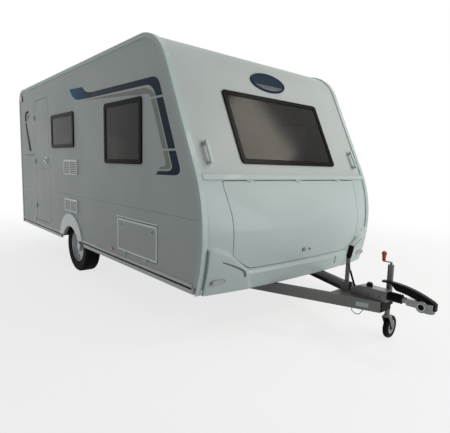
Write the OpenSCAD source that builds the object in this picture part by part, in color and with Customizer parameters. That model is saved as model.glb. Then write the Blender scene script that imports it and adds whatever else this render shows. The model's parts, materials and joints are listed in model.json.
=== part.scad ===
// Touring caravan on its jockey wheel. X points to the hitch, Y to the left, Z up.
// The origin lies on the ground, in the middle of the length and of the width.

/* [Body] */
// Length of the body, from the rear wall to the nose
body_l = 4830; // [4300:10:5400]
// Width over the side walls
body_w = 2300; // [2100:10:2450]
// Height of the roof above the ground, at the front
roof_z = 2460; // [2350:10:2600]
// Fall of the roof towards the rear
roof_drop = 46; // [20:1:80]
// Thickness of the side walls, roof, front and rear panels
wall_t = 30; // [24:1:40]
// Underside of the side skirts
skirt_z = 374; // [360:1:390]
// Lower edge of the side walls
rail_z = 437; // [425:1:450]
// Underside of the floor
floor_z = 400; // [396:1:404]
// Thickness of the floor
floor_t = 40; // [34:1:46]
// Lean of the rear wall, in degrees
rear_lean = 0.9; // [0:0.1:2]
// Radius of the roof's rear corner
rear_r = 170; // [120:5:220]
// Reach of the rear bumper behind the rear wall
rear_reach = 70; // [60:1:90]

/* [Front] */
// Height of the nose, where the front bulges most
nose_z = 850; // [800:5:900]
// Radius of the front above the nose
nose_r = 1150; // [1000:10:1300]
// Radius of the front below the nose
chin_r = 1450; // [1300:10:1600]
// Slope of the windscreen panel, in degrees from level
screen_slope = 64.4; // [60:0.1:68]
// Radius between windscreen panel and roof
shoulder_r = 426; // [350:5:480]
// Height of the joint between windscreen panel and lower moulding
split_z = 1290; // [1270:1:1310]
// Underside of the lower moulding
apron_z = 374; // [372:1:385]
// Bow of the lower moulding, in plan
bow_d = 95; // [60:1:110]
// Height over which the bow grows below the joint
bow_fade = 420; // [350:5:500]
// Step of the bumper below the locker lid
bumper_d = 24; // [15:1:30]

/* [Openings] */
// Entry door, from its hinged edge to the rearmost point
door_s = 850; // [800:5:900]
// Width of the entry door's opening
door_w = 615; // [560:5:640]
// Sill of the entry door
door_z = 505; // [500:1:520]
// Height of the entry door's opening
door_h = 1705; // [1600:5:1740]
// Gap round doors and lids
gap = 6; // [5:0.5:8]
// Width of the black window frames
frame_w = 45; // [35:1:55]
// Locker hatch in the right wall, from the nose back to its front edge
hatch_back = 630; // [610:5:700]
// Width of the locker hatch
hatch_w = 770; // [650:5:800]
// Height of the locker hatch
hatch_h = 335; // [280:5:360]

/* [Running gear] */
// Axle, from the rearmost point
axle_s = 2210; // [2150:5:2300]
// Radius of the tyres
tyre_r = 315; // [300:1:325]
// Width of the tyres
tyre_w = 185; // [165:1:195]
// Radius of the rims
rim_r = 190; // [175:1:200]
// Inset of the tyre's outer face from the side wall
tyre_inset = 60; // [45:1:75]
// Radius of the opening round the wheel
arch_r = 276; // [270:1:285]
// Radius of the stub axles
stub_r = 20; // [16:1:24]

/* [Hitch] */
// Reach of the coupling's tip in front of the nose
hitch_l = 1250; // [1150:10:1400]
// Underside of the drawbar
bar_z = 277; // [274:1:285]
// Depth of the drawbar
bar_h = 88; // [80:1:90]
// Width of the drawbar's flanges
bar_w = 52; // [44:1:60]
// Spread of each drawbar beam per length
bar_spread = 0.36; // [0.33:0.01:0.38]
// Radius of the towing ball's socket
ball_r = 25.2; // [25.1:0.1:25.5]
// Height of the towing shaft
shaft_z = 412; // [408:1:420]
// Radius of the jockey wheel
jockey_r = 95; // [85:1:97]
// Distance of the jockey's tube from the middle
jockey_y = 121; // [119:1:131]
// Trail of the jockey wheel behind its swivel
jockey_trail = 68; // [60:1:75]
// Radius of the jockey's inner leg
leg_r = 20; // [16:1:21]

/* [Hidden] */
$fn = 64;

// Main places along the length
overall_l = rear_reach + body_l + hitch_l;
back_x = -overall_l / 2;
rear_x = back_x + rear_reach;
nose_x = rear_x + body_l;
tip_x = overall_l / 2;
axle_x = back_x + axle_s;
half_w = body_w / 2;
in_w = half_w - wall_t;
floor_top = floor_z + floor_t;
seat_gap = 0.3;

// Points on arcs, and the outline of the body seen from the side, set in by d
function dir(a) = [cos(a), sin(a)];
function arc(c, r, a0, a1, n) = [for (i = [0:n]) c + r * dir(a0 + (a1 - a0) * i / n)];
function ease(t) = t <= 0 ? 0 : t >= 1 ? 1 : t * t * (3 - 2 * t);
slope_a = 90 - screen_slope;
nose_c = [nose_x - nose_r, nose_z];
chin_c = [nose_x - chin_r, nose_z];
slope_n = dir(slope_a);
slope_off = nose_c * slope_n + nose_r;
shoulder_zc = roof_z - shoulder_r;
shoulder_c = [(slope_off - shoulder_r - shoulder_zc * slope_n.y) / slope_n.x, shoulder_zc];
roof_a = atan(roof_drop / (shoulder_c.x - rear_x));
roof_n = dir(90 + roof_a);
roof_off = shoulder_c * roof_n + shoulder_r;
rear_n = dir(180 - rear_lean);
rear_off = [rear_x, skirt_z] * rear_n;
corner_det = roof_n.x * rear_n.y - roof_n.y * rear_n.x;
corner_c = [((roof_off - rear_r) * rear_n.y - (rear_off - rear_r) * roof_n.y) / corner_det,
    (roof_n.x * (rear_off - rear_r) - rear_n.x * (roof_off - rear_r)) / corner_det];
function rear_at(z, d = 0) = (rear_off - d - z * rear_n.y) / rear_n.x;
function roof_at(x, d = 0) = (roof_off - d - x * roof_n.x) / roof_n.y;
chin_a = 22;
low_z = chin_c.y - chin_r * sin(chin_a);
function outline(d) = concat(
    arc(chin_c, chin_r - d, -chin_a, -1, 7),
    arc(nose_c, nose_r - d, 0, slope_a, 6),
    arc(shoulder_c, shoulder_r - d, slope_a, 90 + roof_a, 9),
    arc(corner_c, rear_r - d, 90 + roof_a, 180 - rear_lean, 6),
    [[rear_at(low_z, d), low_z]]);
nose_top = nose_c.y + nose_r * slope_n.y;
function front_x(z, d = 0) = z < nose_z ? chin_c.x + sqrt(pow(chin_r - d, 2) - pow(z - nose_z, 2))
    : z < nose_top ? nose_c.x + sqrt(pow(nose_r - d, 2) - pow(z - nose_z, 2))
    : (slope_off - d - z * slope_n.y) / slope_n.x;

// Rounded rectangle between two corners
function round_pts(x0, z0, x1, z1, r, n = 4) = concat(
    arc([x1 - r, z0 + r], r, -90, 0, n), arc([x1 - r, z1 - r], r, 0, 90, n),
    arc([x0 + r, z1 - r], r, 90, 180, n), arc([x0 + r, z0 + r], r, 180, 270, n));
module plate2d(x0, z0, x1, z1, r) polygon(round_pts(x0, z0, x1, z1, r));
// A side view shape, stretched across from y0 to y1
module across(y0, y1) translate([0, y1, 0]) rotate([90, 0, 0]) linear_extrude(y1 - y0) children();
// A rear view shape in Y and Z, stretched along from x0 to x1
module along(x0, x1) translate([x0, 0, 0]) rotate([90, 0, 90]) linear_extrude(x1 - x0) children();
// A plan shape, stretched up from z0 to z1
module up(z0, z1) translate([0, 0, z0]) linear_extrude(z1 - z0) children();
module box(x0, x1, y0, y1, z0, z1) translate([x0, y0, z0]) cube([x1 - x0, y1 - y0, z1 - z0]);
module both_sides() { children(); mirror([0, 1, 0]) children(); }
// The body seen from the side, set in by d, above the height z0
far = 9000;
module body2d(d, z0) intersection() {
    polygon(outline(d));
    translate([-far / 2, z0]) square(far);
}

// Side windows: rear edge and front edge from the rearmost point, sill, head
win_r = 30;
win_head = 1953;
kitchen_sill = 1536;
kitchen_win_w = 790;
kitchen_right_s = 1595;
kitchen_left_s = 1900;
lounge_sill = 1364;
lounge_s1 = nose_x - back_x - 898;
lounge_s0 = lounge_s1 - 768;
lounge_win = [lounge_s0, lounge_s1, lounge_sill, win_head];
win_right = [[kitchen_right_s, kitchen_right_s + kitchen_win_w, kitchen_sill, win_head], lounge_win];
win_left = [[kitchen_left_s, kitchen_left_s + kitchen_win_w, kitchen_sill, win_head], lounge_win];
win_lap = 18;
win_proud = 14;
pane_t = 5;
pane_in = 3;
module window_hole(w) plate2d(back_x + w[0] + win_lap, w[2] + win_lap, back_x + w[1] - win_lap,
    w[3] - win_lap, win_r - win_lap / 2);
module window_ring(w) difference() {
    plate2d(back_x + w[0], w[2], back_x + w[1], w[3], win_r);
    window_glass(w);
}
module window_glass(w) plate2d(back_x + w[0] + frame_w, w[2] + frame_w, back_x + w[1] - frame_w,
    w[3] - frame_w, win_r / 2);

// Windscreen in its slope: half width, sill, head
screen_w = half_w - 500;
screen_r = 34;
screen_z0 = 1395;
screen_z1 = 2025;
slope_mid_z = (screen_z0 + screen_z1) / 2;
screen_half = (screen_z1 - screen_z0) / 2 / sin(screen_slope);
module on_slope(z) translate([front_x(z), 0, z]) rotate([0, 90 - slope_a, 0]) children();
module screen2d(d) plate2d(-screen_half + d, -screen_w + d, screen_half - d, screen_w - d, screen_r - d / 2);

// Rear window: half width, sill, head
rear_win_w = half_w - 530;
rear_win_r = 45;
rear_win_z0 = 1330;
rear_win_z1 = 1880;
rear_mid_z = (rear_win_z0 + rear_win_z1) / 2;
rear_win_half = (rear_win_z1 - rear_win_z0) / 2;
module on_rear(z) translate([rear_at(z), 0, z]) rotate([0, -90 + rear_lean, 0]) children();
module rear_win2d(d) plate2d(-rear_win_half + d, -rear_win_w + d, rear_win_half - d, rear_win_w - d,
    rear_win_r - d / 2);

// Wheel arch, seen from the side
arch_z = 300;
trim_z = 355;
trim_r = 377;
trim_proud = 16;
box_len = 372;
box_in = 300;
box_top = 715;
box_t = 8;
module arch2d(d = 0) translate([axle_x, arch_z]) circle(arch_r + d);

// Entry door, locker hatch and toilet hatch, seen from the side
door_x = back_x + door_s;
door_r = 90;
module door2d(d) plate2d(door_x + d, door_z + d, door_x + door_w - d, door_z + door_h - d, door_r - d);
hatch_x1 = nose_x - hatch_back;
hatch_x0 = hatch_x1 - hatch_w;
hatch_z = 508;
hatch_r = 25;
module hatch2d(d) plate2d(hatch_x0 + d, hatch_z + d, hatch_x1 - d, hatch_z + hatch_h - d, hatch_r - d);
cassette_s = 280;
cassette_w = 360;
cassette_h = 330;
cassette_x = back_x + cassette_s;
cassette_z = 508;
module cassette2d(d) plate2d(cassette_x + d, cassette_z + d, cassette_x + cassette_w - d,
    cassette_z + cassette_h - d, hatch_r - d);

// Butt hinges: pin radius of the knuckle, its distance from the wall, knuckle length
knuckle_r = 7;
knuckle_off = 9;
knuckle_l = 32;
flange_t = 3;
flange_w = 34;
module knuckle(l) cylinder(r = knuckle_r, h = l);
// One half of a hinge at the origin: knuckle along Z, flange to +X on the wall plane at y = off
module hinge_half(z0) {
    translate([0, 0, z0]) knuckle(knuckle_l);
    box(0, flange_w, knuckle_off - flange_t, knuckle_off, z0, z0 + knuckle_l);
    box(-knuckle_r / 2, knuckle_r / 2, 0, knuckle_off, z0, z0 + knuckle_l);
}
door_hinge_x = door_x + gap / 2;
door_hinges = [0.12, 0.5, 0.86];
module at_door_hinge(f) translate([door_hinge_x, -half_w - knuckle_off, door_z + f * door_h]) children();
flap_hinges = [0.22, 0.74];
// Hinges of the two low hatches lie along their lower edges
module at_flap_hinge(x, z, side) translate([x, side * (half_w + knuckle_off), z])
    rotate([0, 90, 0]) mirror([0, side > 0 ? 1 : 0, 0]) children();

// Lower moulding of the front, and the rail over its upper joint
rail_h = 44;
rail_proud = 14;
mould_w = in_w - 17;
// Columns of the moulding from the middle outwards, closer where the cheek steps out
mould_cols = [0, 0.13, 0.26, 0.38, 0.49, 0.57, 0.61, 0.65, 0.71, 0.79, 0.87, 0.94, 1];
lid_z1 = 1262;
lid_z0 = 548;
lid_mid_z = 985;
lid_low_z = 662;
// Half outline of the lid from its upper corner down: distance from the middle, height
lid_pts = [[mould_w - 184, lid_z1], [mould_w - 219, lid_mid_z], [mould_w - 229, lid_low_z],
    [mould_w - 405, lid_z0]];
lid_half = concat(lid_pts, [for (i = [len(lid_pts) - 1:-1:0]) [-lid_pts[i].x, lid_pts[i].y]]);
crease_in = mould_w - 403;
crease_drop = 14;
crease_soft = 30;
bow_power = 2.6;
crease_rise = 228;
function crease(y) = lid_z0 - crease_drop
    + crease_rise * sin(90 * max(0, abs(y) - crease_in) / (mould_w - crease_in));
function bow(y, z) = bow_d * (1 - pow(abs(y) / mould_w, bow_power))
    * ease((split_z - rail_h / 2 - z) / bow_fade);
// The cheeks of the bumper stand out from its middle, along a slanted edge
cheek_d = 14;
cheek_low = mould_w - 455;
cheek_slant = 0.34;
cheek_soft = 40;
function cheek(y, z) = cheek_d * ease((abs(y) - cheek_low - cheek_slant * (z - apron_z)) / cheek_soft);
function bumper(y, z) = (bumper_d + cheek(y, z)) * ease((crease(y) - z) / crease_soft);
mould_rows = [apron_z, 430, 490, 520, 540, 570, 610, 660, 720, 790, 880, 980, 1080, 1160, 1220,
    split_z - rail_h / 2, split_z];
mould_t = 26;
function mould_x(y, z, step) = front_x(z) + bow(y, z) + (step ? bumper(y, z) : 0);
module mould_sheet(t, step) {
    rows = len(mould_rows);
    half = len(mould_cols) - 1;
    cols = 2 * half + 1;
    ys = [for (i = [-half:half]) mould_w * sign(i) * mould_cols[abs(i)]];
    outer = [for (z = mould_rows) for (y = ys) [mould_x(y, z, step), y, z]];
    inner = [for (z = mould_rows) for (y = ys) [mould_x(y, z, step) - t, y, z]];
    k = rows * cols;
    faces = concat(
        [for (r = [0:rows - 2]) for (c = [0:cols - 2]) let (a = r * cols + c)
            each [[a, a + cols, a + cols + 1], [a, a + cols + 1, a + 1]]],
        [for (r = [0:rows - 2]) for (c = [0:cols - 2]) let (a = k + r * cols + c)
            each [[a, a + cols + 1, a + cols], [a, a + 1, a + cols + 1]]],
        [for (c = [0:cols - 2]) each [[c, c + 1, k + c + 1], [c, k + c + 1, k + c]]],
        [for (c = [k - cols:k - 2]) each [[c, k + c, k + c + 1], [c, k + c + 1, c + 1]]],
        [for (r = [0:rows - 2]) let (a = r * cols)
            each [[a, k + a, k + a + cols], [a, k + a + cols, a + cols]]],
        [for (r = [0:rows - 2]) let (a = r * cols + cols - 1)
            each [[a, a + cols, k + a + cols], [a, k + a + cols, k + a]]]);
    polyhedron(concat(outer, inner), faces);
}
module lid2d(d) polygon([for (p = lid_half) [p.x - sign(p.x) * d,
    p.y == lid_z1 ? p.y - d : p.y == lid_z0 ? p.y + d : p.y]]);
lamp_y = mould_w - 101;
lamp_z = 480;
lamp_w = 125;
lamp_h = 42;
module lamp2d(d) plate2d(lamp_y - lamp_w / 2 + d, lamp_z - lamp_h / 2 + d, lamp_y + lamp_w / 2 - d,
    lamp_z + lamp_h / 2 - d, lamp_h / 2 - d - 0.5);

// Body panels
module wall2d(windows) difference() {
    body2d(0, rail_z);
    for (w = windows) window_hole(w);
    arch2d();
}
module wall_right() color("gainsboro") across(-half_w, -in_w) difference() {
    wall2d(win_right);
    door2d(0);
    hatch2d(0);
}
module wall_left() color("gainsboro") across(in_w, half_w) difference() {
    wall2d(win_left);
    cassette2d(0);
}
module shell2d(t) difference() {
    body2d(0, apron_z);
    body2d(t, apron_z - wall_t);
}
module roof_panel() color("white") difference() {
    across(-in_w, in_w) intersection() {
        shell2d(wall_t);
        translate([corner_c.x, nose_z]) square([shoulder_c.x - corner_c.x, far]);
    }
    for (r = rooflight_table) on_roof(back_x + r[0])
        translate([-r[1] / 2, -r[2] / 2, -2 * wall_t]) cube([r[1], r[2], 3 * wall_t]);
}
module front_panel() color("azure") difference() {
    across(-in_w, in_w) intersection() {
        shell2d(wall_t);
        translate([shoulder_c.x, split_z]) square(far);
    }
    on_slope(slope_mid_z) translate([0, 0, -3 * wall_t]) linear_extrude(6 * wall_t) screen2d(win_lap);
}
module rear_wall() color("white") difference() {
    across(-in_w, in_w) intersection() {
        shell2d(wall_t);
        translate([corner_c.x - far, skirt_z]) square(far);
    }
    on_rear(rear_mid_z) translate([0, 0, -2 * wall_t]) linear_extrude(4 * wall_t) rear_win2d(win_lap);
}
floor_nose = front_x(floor_z, mould_t) - 4;
module floor() color("tan") difference() {
    box(rear_at(floor_top, wall_t) + seat_gap, floor_nose, -in_w, in_w, floor_z, floor_top);
    both_sides() box(axle_x - box_len, axle_x + box_len, in_w - box_in, in_w + 1, floor_z - 1, floor_top + 1);
}
module wheel_boxes() color("dimgray") both_sides() difference() {
    box(axle_x - box_len, axle_x + box_len, in_w - box_in, in_w, floor_z, box_top);
    box(axle_x - box_len + box_t, axle_x + box_len - box_t, in_w - box_in + box_t, in_w + 1,
        floor_z - 1, box_top - box_t);
}
locker_d = 420;
bulk_x = nose_x - locker_d;
bulk_t = 18;
shelf_z = split_z - 22;
module locker_bulkhead() color("beige") union() {
    box(bulk_x - bulk_t, bulk_x, -in_w, in_w, floor_top, shelf_z);
    box(bulk_x - bulk_t, front_x(shelf_z + bulk_t, wall_t) - 2, -in_w, in_w, shelf_z, shelf_z + bulk_t);
}
module front_moulding() color("aliceblue") difference() {
    mould_sheet(mould_t, true);
    along(nose_x - far / 10, nose_x + far / 10) lid2d(0);
    both_sides() along(nose_x - far / 10, nose_x + far / 10) lamp2d(0);
}
lid_hinge_x = front_x(lid_z1) + 8;
lid_hinge_z = lid_z1 - 1;
lid_hinge_y = mould_w - 483;
lid_hinges = [-lid_hinge_y, 0, lid_hinge_y];
lid_web = 26;
lid_pin_r = 5;
lid_knuckle = 40;
// Half a lid hinge at the origin: knuckle along Y from y0, web from z0 to z1
module lid_half_hinge(y0, z0, z1) {
    translate([0, y0, 0]) rotate([-90, 0, 0]) cylinder(r = lid_pin_r, h = lid_knuckle);
    box(-lid_pin_r, lid_pin_r / 2, y0, y0 + lid_knuckle, z0, z1);
}
module at_lid_hinge(y) translate([lid_hinge_x, y, lid_hinge_z]) children();
module front_lid() color("aliceblue") union() {
    intersection() {
        mould_sheet(mould_t, false);
        along(nose_x - far / 10, nose_x + far / 10) lid2d(gap);
    }
    for (y = lid_hinges) at_lid_hinge(y) lid_half_hinge(seat_gap, -lid_web, 0);
}
module front_rail() color("white") across(-mould_w, mould_w) polygon([
    [front_x(split_z - rail_h / 2), split_z - rail_h / 2],
    [front_x(split_z - rail_h / 2) + rail_proud, split_z - rail_h / 2],
    [front_x(split_z + rail_h / 2) + rail_proud, split_z + rail_h / 2],
    [front_x(split_z + rail_h / 2), split_z + rail_h / 2],
    [front_x(split_z), split_z]]);

// Trims along the edges
trim_out = 10;
trim_in = 30;
trim_side = 6;
trim_lap = 15;
module awning_rails() color("white") both_sides() union() {
    across(in_w - trim_lap, half_w + trim_side) difference() {
        body2d(-trim_out, skirt_z);
        body2d(0, skirt_z - wall_t);
    }
    across(half_w, half_w + trim_side) difference() {
        body2d(0, rail_z + 24);
        body2d(trim_in, rail_z);
    }
}
skirt_y = half_w - 4;
strip_y = half_w + 7;
strip_lap = 5;
strip_h = 21;
skirt_profile = [[in_w, skirt_z], [skirt_y, skirt_z], [skirt_y, rail_z - strip_lap],
    [strip_y, rail_z - strip_lap], [strip_y, rail_z + strip_h], [half_w, rail_z + strip_h],
    [half_w, rail_z], [in_w, rail_z]];
skirt_clear = 4;
module side_skirts() color("silver") both_sides() {
    along(rear_at(skirt_z, -trim_out) + trim_out + skirt_clear, axle_x - trim_r) polygon(skirt_profile);
    along(axle_x + trim_r, front_x(skirt_z, trim_in)) polygon(skirt_profile);
}
module arch_trims() color("white") both_sides() across(half_w, half_w + trim_proud) difference() {
    translate([axle_x, trim_z]) circle(trim_r - 0.5);
    arch2d();
    translate([axle_x - far / 2, rail_z - far]) square(far);
}

// Windows
module window_frames() color("black") {
    for (w = win_right) across(-half_w - win_proud, -half_w) window_ring(w);
    for (w = win_left) across(half_w, half_w + win_proud) window_ring(w);
    on_slope(slope_mid_z) up(seat_gap, win_proud) difference() {
        screen2d(0);
        screen2d(frame_w);
    }
    on_rear(rear_mid_z) up(seat_gap, win_proud) difference() {
        rear_win2d(0);
        rear_win2d(frame_w);
    }
}
module window_panes() color([0.2, 0.16, 0.13, 0.7]) {
    for (w = win_right) across(-half_w - pane_in - pane_t, -half_w - pane_in) window_glass(w);
    for (w = win_left) across(half_w + pane_in, half_w + pane_in + pane_t) window_glass(w);
    on_slope(slope_mid_z) up(pane_in, pane_in + pane_t) screen2d(frame_w);
    on_rear(rear_mid_z) up(pane_in, pane_in + pane_t) rear_win2d(frame_w);
}
// Rooflights: distance from the rearmost point, length, width. The larger one keeps its place behind the nose
big_light_in = 1650;
rooflight_table = [[1250, 380, 380], [nose_x - back_x - big_light_in, 680, 480]];
dome_h = 62;
dome_lap = 38;
dome_t = 6;
module on_roof(x) translate([x, 0, roof_at(x)]) rotate([0, -roof_a, 0]) children();
module rooflights() color("snow") for (r = rooflight_table) on_roof(back_x + r[0]) difference() {
    lx = r[1] / 2 + dome_lap;
    ly = r[2] / 2 + dome_lap;
    up(seat_gap, dome_h) plate2d(-lx, -ly, lx, ly, 2 * dome_lap);
    up(0, dome_h - dome_t) plate2d(-r[1] / 2, -r[2] / 2, r[1] / 2, r[2] / 2, dome_lap);
}

// Doors and hatches
module entry_door() color("gainsboro") union() {
    across(-half_w, -in_w) door2d(gap);
    for (f = door_hinges) at_door_hinge(f) hinge_half(seat_gap);
}
handle_x = door_x + door_w - 118;
handle_z = 1330;
module door_handle() color("dimgray") union() {
    across(-half_w - 10, -half_w) plate2d(handle_x - 42, handle_z, handle_x + 42, handle_z + 92, 14);
    across(-half_w - 34, -half_w - 10) plate2d(handle_x - 34, handle_z + 20, handle_x - 12, handle_z + 72, 8);
    across(-half_w - 34, -half_w - 22) plate2d(handle_x - 34, handle_z + 20, handle_x + 34, handle_z + 46, 8);
}
module flap_leaf(x, w, z, side) for (f = flap_hinges) at_flap_hinge(x + f * w, z + gap / 2, side)
    mirror([1, 0, 0]) translate([0, 0, seat_gap]) hinge_half(0);
module side_hatch() color("gainsboro") union() {
    across(-half_w, -in_w) hatch2d(gap);
    flap_leaf(hatch_x0, hatch_w, hatch_z, -1);
}
module cassette_door() color("gainsboro") union() {
    across(in_w, half_w) cassette2d(gap);
    flap_leaf(cassette_x, cassette_w, cassette_z, 1);
}
module flap_block(x, w, z, side) for (f = flap_hinges) at_flap_hinge(x + f * w, z + gap / 2, side)
    translate([0, 0, -knuckle_l]) hinge_half(0);
module hinge_blocks() color("silver") {
    for (y = lid_hinges) at_lid_hinge(y) lid_half_hinge(-lid_knuckle, 0, split_z - rail_h / 2 - lid_hinge_z);
    for (f = door_hinges) at_door_hinge(f) mirror([1, 0, 0]) hinge_half(-knuckle_l);
    flap_block(hatch_x0, hatch_w, hatch_z, -1);
    flap_block(cassette_x, cassette_w, cassette_z, 1);
}

// Fittings on the walls
// Refrigerator vents: rear edge, front edge, sill, head
vent_table = [[2050, 2478, 1212, 1390], [2042, 2460, 762, 918]];
vent_t = 16;
louvre_n = 7;
vent_r = 12;
vent_edge = 16;
vent_back = 4;
louvre_open = 0.55;
module fridge_vents() color("whitesmoke") for (v = vent_table) difference() {
    across(-half_w - vent_t, -half_w) plate2d(back_x + v[0], v[2], back_x + v[1], v[3], vent_r);
    pitch = (v[3] - v[2] - 2 * vent_edge) / louvre_n;
    run = (v[1] - v[0] - 3 * vent_edge) / 2;
    for (x = [back_x + v[0] + vent_edge, back_x + v[1] - vent_edge - run])
        for (z = [v[2] + vent_edge:pitch:v[3] - vent_edge - pitch / 2])
            box(x, x + run, -half_w - vent_t - 1, -half_w - vent_back, z, z + louvre_open * pitch);
}
grab_y = half_w - 150;
grab_z = 1465;
grab_l = 200;
grab_w = 34;
grab_t = 16;
foot_r = 16;
foot_in = 18;
module grab_handles() color("gray") both_sides() on_slope(grab_z) translate([0, grab_y, 0]) {
    for (e = [-1, 1]) translate([e * (grab_l / 2 - foot_in), 0, seat_gap]) cylinder(r = foot_r, h = grab_w);
    up(grab_w, grab_w + grab_t) plate2d(-grab_l / 2, -grab_w / 2, grab_l / 2, grab_w / 2, foot_r);
}
plaque_z = 2180;
plaque_w = 236;
plaque_h = 104;
plaque_t = 10;
plaque_n = 40;
module front_plaque() color("navy") on_slope(plaque_z) up(seat_gap, plaque_t)
    polygon([for (i = [1:plaque_n]) let (a = 360 * i / plaque_n) [plaque_h * sin(a), plaque_w * cos(a)]]);
bumper_top = 560;
bumper_w = in_w - trim_lap - 1;
bumper_lean = 0.4 * rear_reach;
bumper_round = 60;
bumper_under = [25, 40];
function on_back(z) = rear_at(z, -seat_gap);
module rear_bumper() color("whitesmoke") across(-bumper_w, bumper_w) polygon([
    [on_back(skirt_z), skirt_z], [on_back(bumper_top), bumper_top],
    [back_x + bumper_lean, bumper_top], [back_x, bumper_top - bumper_round],
    [back_x, skirt_z + bumper_under.y], [back_x + bumper_under.x, skirt_z]]);
cluster_z1 = 690;
cluster_t = 42;
cluster_w = 280;
cluster_in = 20;
marker_s = 190;
marker_w = 85;
marker_h = 90;
marker_z = roof_z - 205;
marker_t = 16;
marker_r = 20;
module red_lamps() color("firebrick") both_sides() {
    across(bumper_w - cluster_in - cluster_w, bumper_w - cluster_in) polygon([
        [on_back(bumper_top), bumper_top], [on_back(cluster_z1), cluster_z1],
        [on_back(cluster_z1) - cluster_t, cluster_z1],
        [on_back(bumper_top) - cluster_t, bumper_top]]);
    across(half_w, half_w + marker_t) plate2d(back_x + marker_s, marker_z, back_x + marker_s + marker_w,
        marker_z + marker_h, marker_r);
}
// Amber side lamps, from the rearmost point
amber_rear_s = 735;
amber_nose_in = 1533;
amber_table = [amber_rear_s, nose_x - back_x - amber_nose_in];
amber_w = 68;
amber_h = 24;
amber_z = 484;
amber_t = 12;
module amber_lamps() color("darkorange") both_sides() for (s = amber_table) across(half_w, half_w + amber_t)
    plate2d(back_x + s - amber_w / 2, amber_z, back_x + s + amber_w / 2, amber_z + amber_h, amber_h / 3);
lens_proud = 14;
module white_lamps() color("white") both_sides() along(mould_x(lamp_y, lamp_z, true) - mould_t,
    mould_x(lamp_y, lamp_z, true) + lens_proud) lamp2d(seat_gap);

// Chassis and running gear
rail_y = 595;
rail_w = 50;
rail_t = 5;
rail_s0 = 330;
bar_back = 4250;
hex_r = 55;
axle_z = 330;
arm_l = 160;
hex_x = axle_x + arm_l;
module chassis_rails() color("slategray") both_sides() difference() {
    box(back_x + rail_s0, back_x + bar_back, rail_y - rail_w / 2, rail_y + rail_w / 2, bar_z, floor_z);
    box(back_x + rail_s0 - 1, back_x + bar_back + 1, rail_y - rail_w / 2 - 1, rail_y + rail_w / 2 - rail_t,
        bar_z + rail_t, floor_z - rail_t);
    translate([hex_x, 0, axle_z]) rotate([-90, 0, 0]) cylinder(r = hex_r + seat_gap, h = half_w, $fn = 6);
}
cross_table = [700, 1750, 3100, 4100];
cross_half = 30;
cross_in = 30;
module cross_members() color("slategray") for (s = cross_table)
    box(back_x + s - cross_half, back_x + s + cross_half, -rail_y - rail_w / 2 + rail_t,
        rail_y + rail_w / 2 - rail_t, bar_z + cross_in, floor_z - cross_in);
bar_set_back = 385;
bar_front = tip_x - bar_set_back;
bar_tip_y = 66;
deck_l = 400;
function bar_y(x) = bar_tip_y + bar_spread * (bar_front - x);
bar_rear_x = back_x + bar_back;
module beam2d(a, b) polygon([[bar_rear_x, bar_y(bar_rear_x) - a], [bar_front, bar_y(bar_front) - a],
    [bar_front, bar_y(bar_front) - b], [bar_rear_x, bar_y(bar_rear_x) - b]]);
module drawbar() color("silver") union() {
    both_sides() difference() {
        up(bar_z, bar_z + bar_h) beam2d(0, bar_w);
        up(bar_z + rail_t, bar_z + bar_h - rail_t) beam2d(rail_t, bar_w + 1);
    }
    up(bar_z + bar_h - rail_t, bar_z + bar_h) polygon([[bar_front - deck_l, -bar_y(bar_front - deck_l)],
        [bar_front, -bar_tip_y], [bar_front, bar_tip_y], [bar_front - deck_l, bar_y(bar_front - deck_l)]]);
    box(bar_front - 8, bar_front, -bar_tip_y, bar_tip_y, bar_z, bar_z + bar_h);
}
module axle_tube() color("slategray") translate([hex_x, -arm_in, axle_z]) rotate([-90, 0, 0])
    cylinder(r = hex_r, h = 2 * arm_in, $fn = 6);
tyre_y1 = half_w - tyre_inset;
tyre_y0 = tyre_y1 - tyre_w;
arm_in = tyre_y0 - 96;
arm_t = 34;
plate_r = 118;
plate_t = 10;
plate_gap = 6;
stub_in = 40;
arm_eye = 46;
arm_end = 36;
module trailing_arms() color("dimgray") both_sides() union() {
    across(arm_in, arm_in + arm_t) hull() {
        translate([hex_x, axle_z]) circle(arm_eye, $fn = 24);
        translate([axle_x, tyre_r]) circle(arm_end, $fn = 24);
    }
    translate([axle_x, arm_in + arm_t, tyre_r]) rotate([-90, 0, 0]) {
        cylinder(r = plate_r, h = plate_t);
        cylinder(r = stub_r, h = tyre_y1 - stub_in - arm_in - arm_t);
    }
}
drum_y0 = arm_in + arm_t + plate_t + plate_gap;
disc_y = tyre_y1 - 62;
disc_t = 8;
bead_in = 14;
wall_bulge = 2;
shoulder = 26;
round_n = 72;
module on_axle(side) translate([axle_x, 0, tyre_r]) rotate([-90 * side, 0, 0]) children();
module tyre2d() polygon(concat([[rim_r, tyre_y0 + bead_in]],
    [[(rim_r + tyre_r) / 2, tyre_y0]],
    arc([tyre_r - shoulder, tyre_y0 + shoulder + wall_bulge], shoulder, -90, 0, 3),
    arc([tyre_r - shoulder, tyre_y1 - shoulder - wall_bulge], shoulder, 0, 90, 3),
    [[(rim_r + tyre_r) / 2, tyre_y1], [rim_r, tyre_y1 - bead_in]]));
module tyre_left() color("black") on_axle(1) rotate_extrude($fn = round_n) tyre2d();
module tyre_right() color("black") on_axle(-1) rotate_extrude($fn = round_n) tyre2d();
lip_t = 5;
drum_r = 112;
drum_t = 14;
face_r = 70;
face_d = 30;
cap_r = 44;
cap_l = 34;
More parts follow.
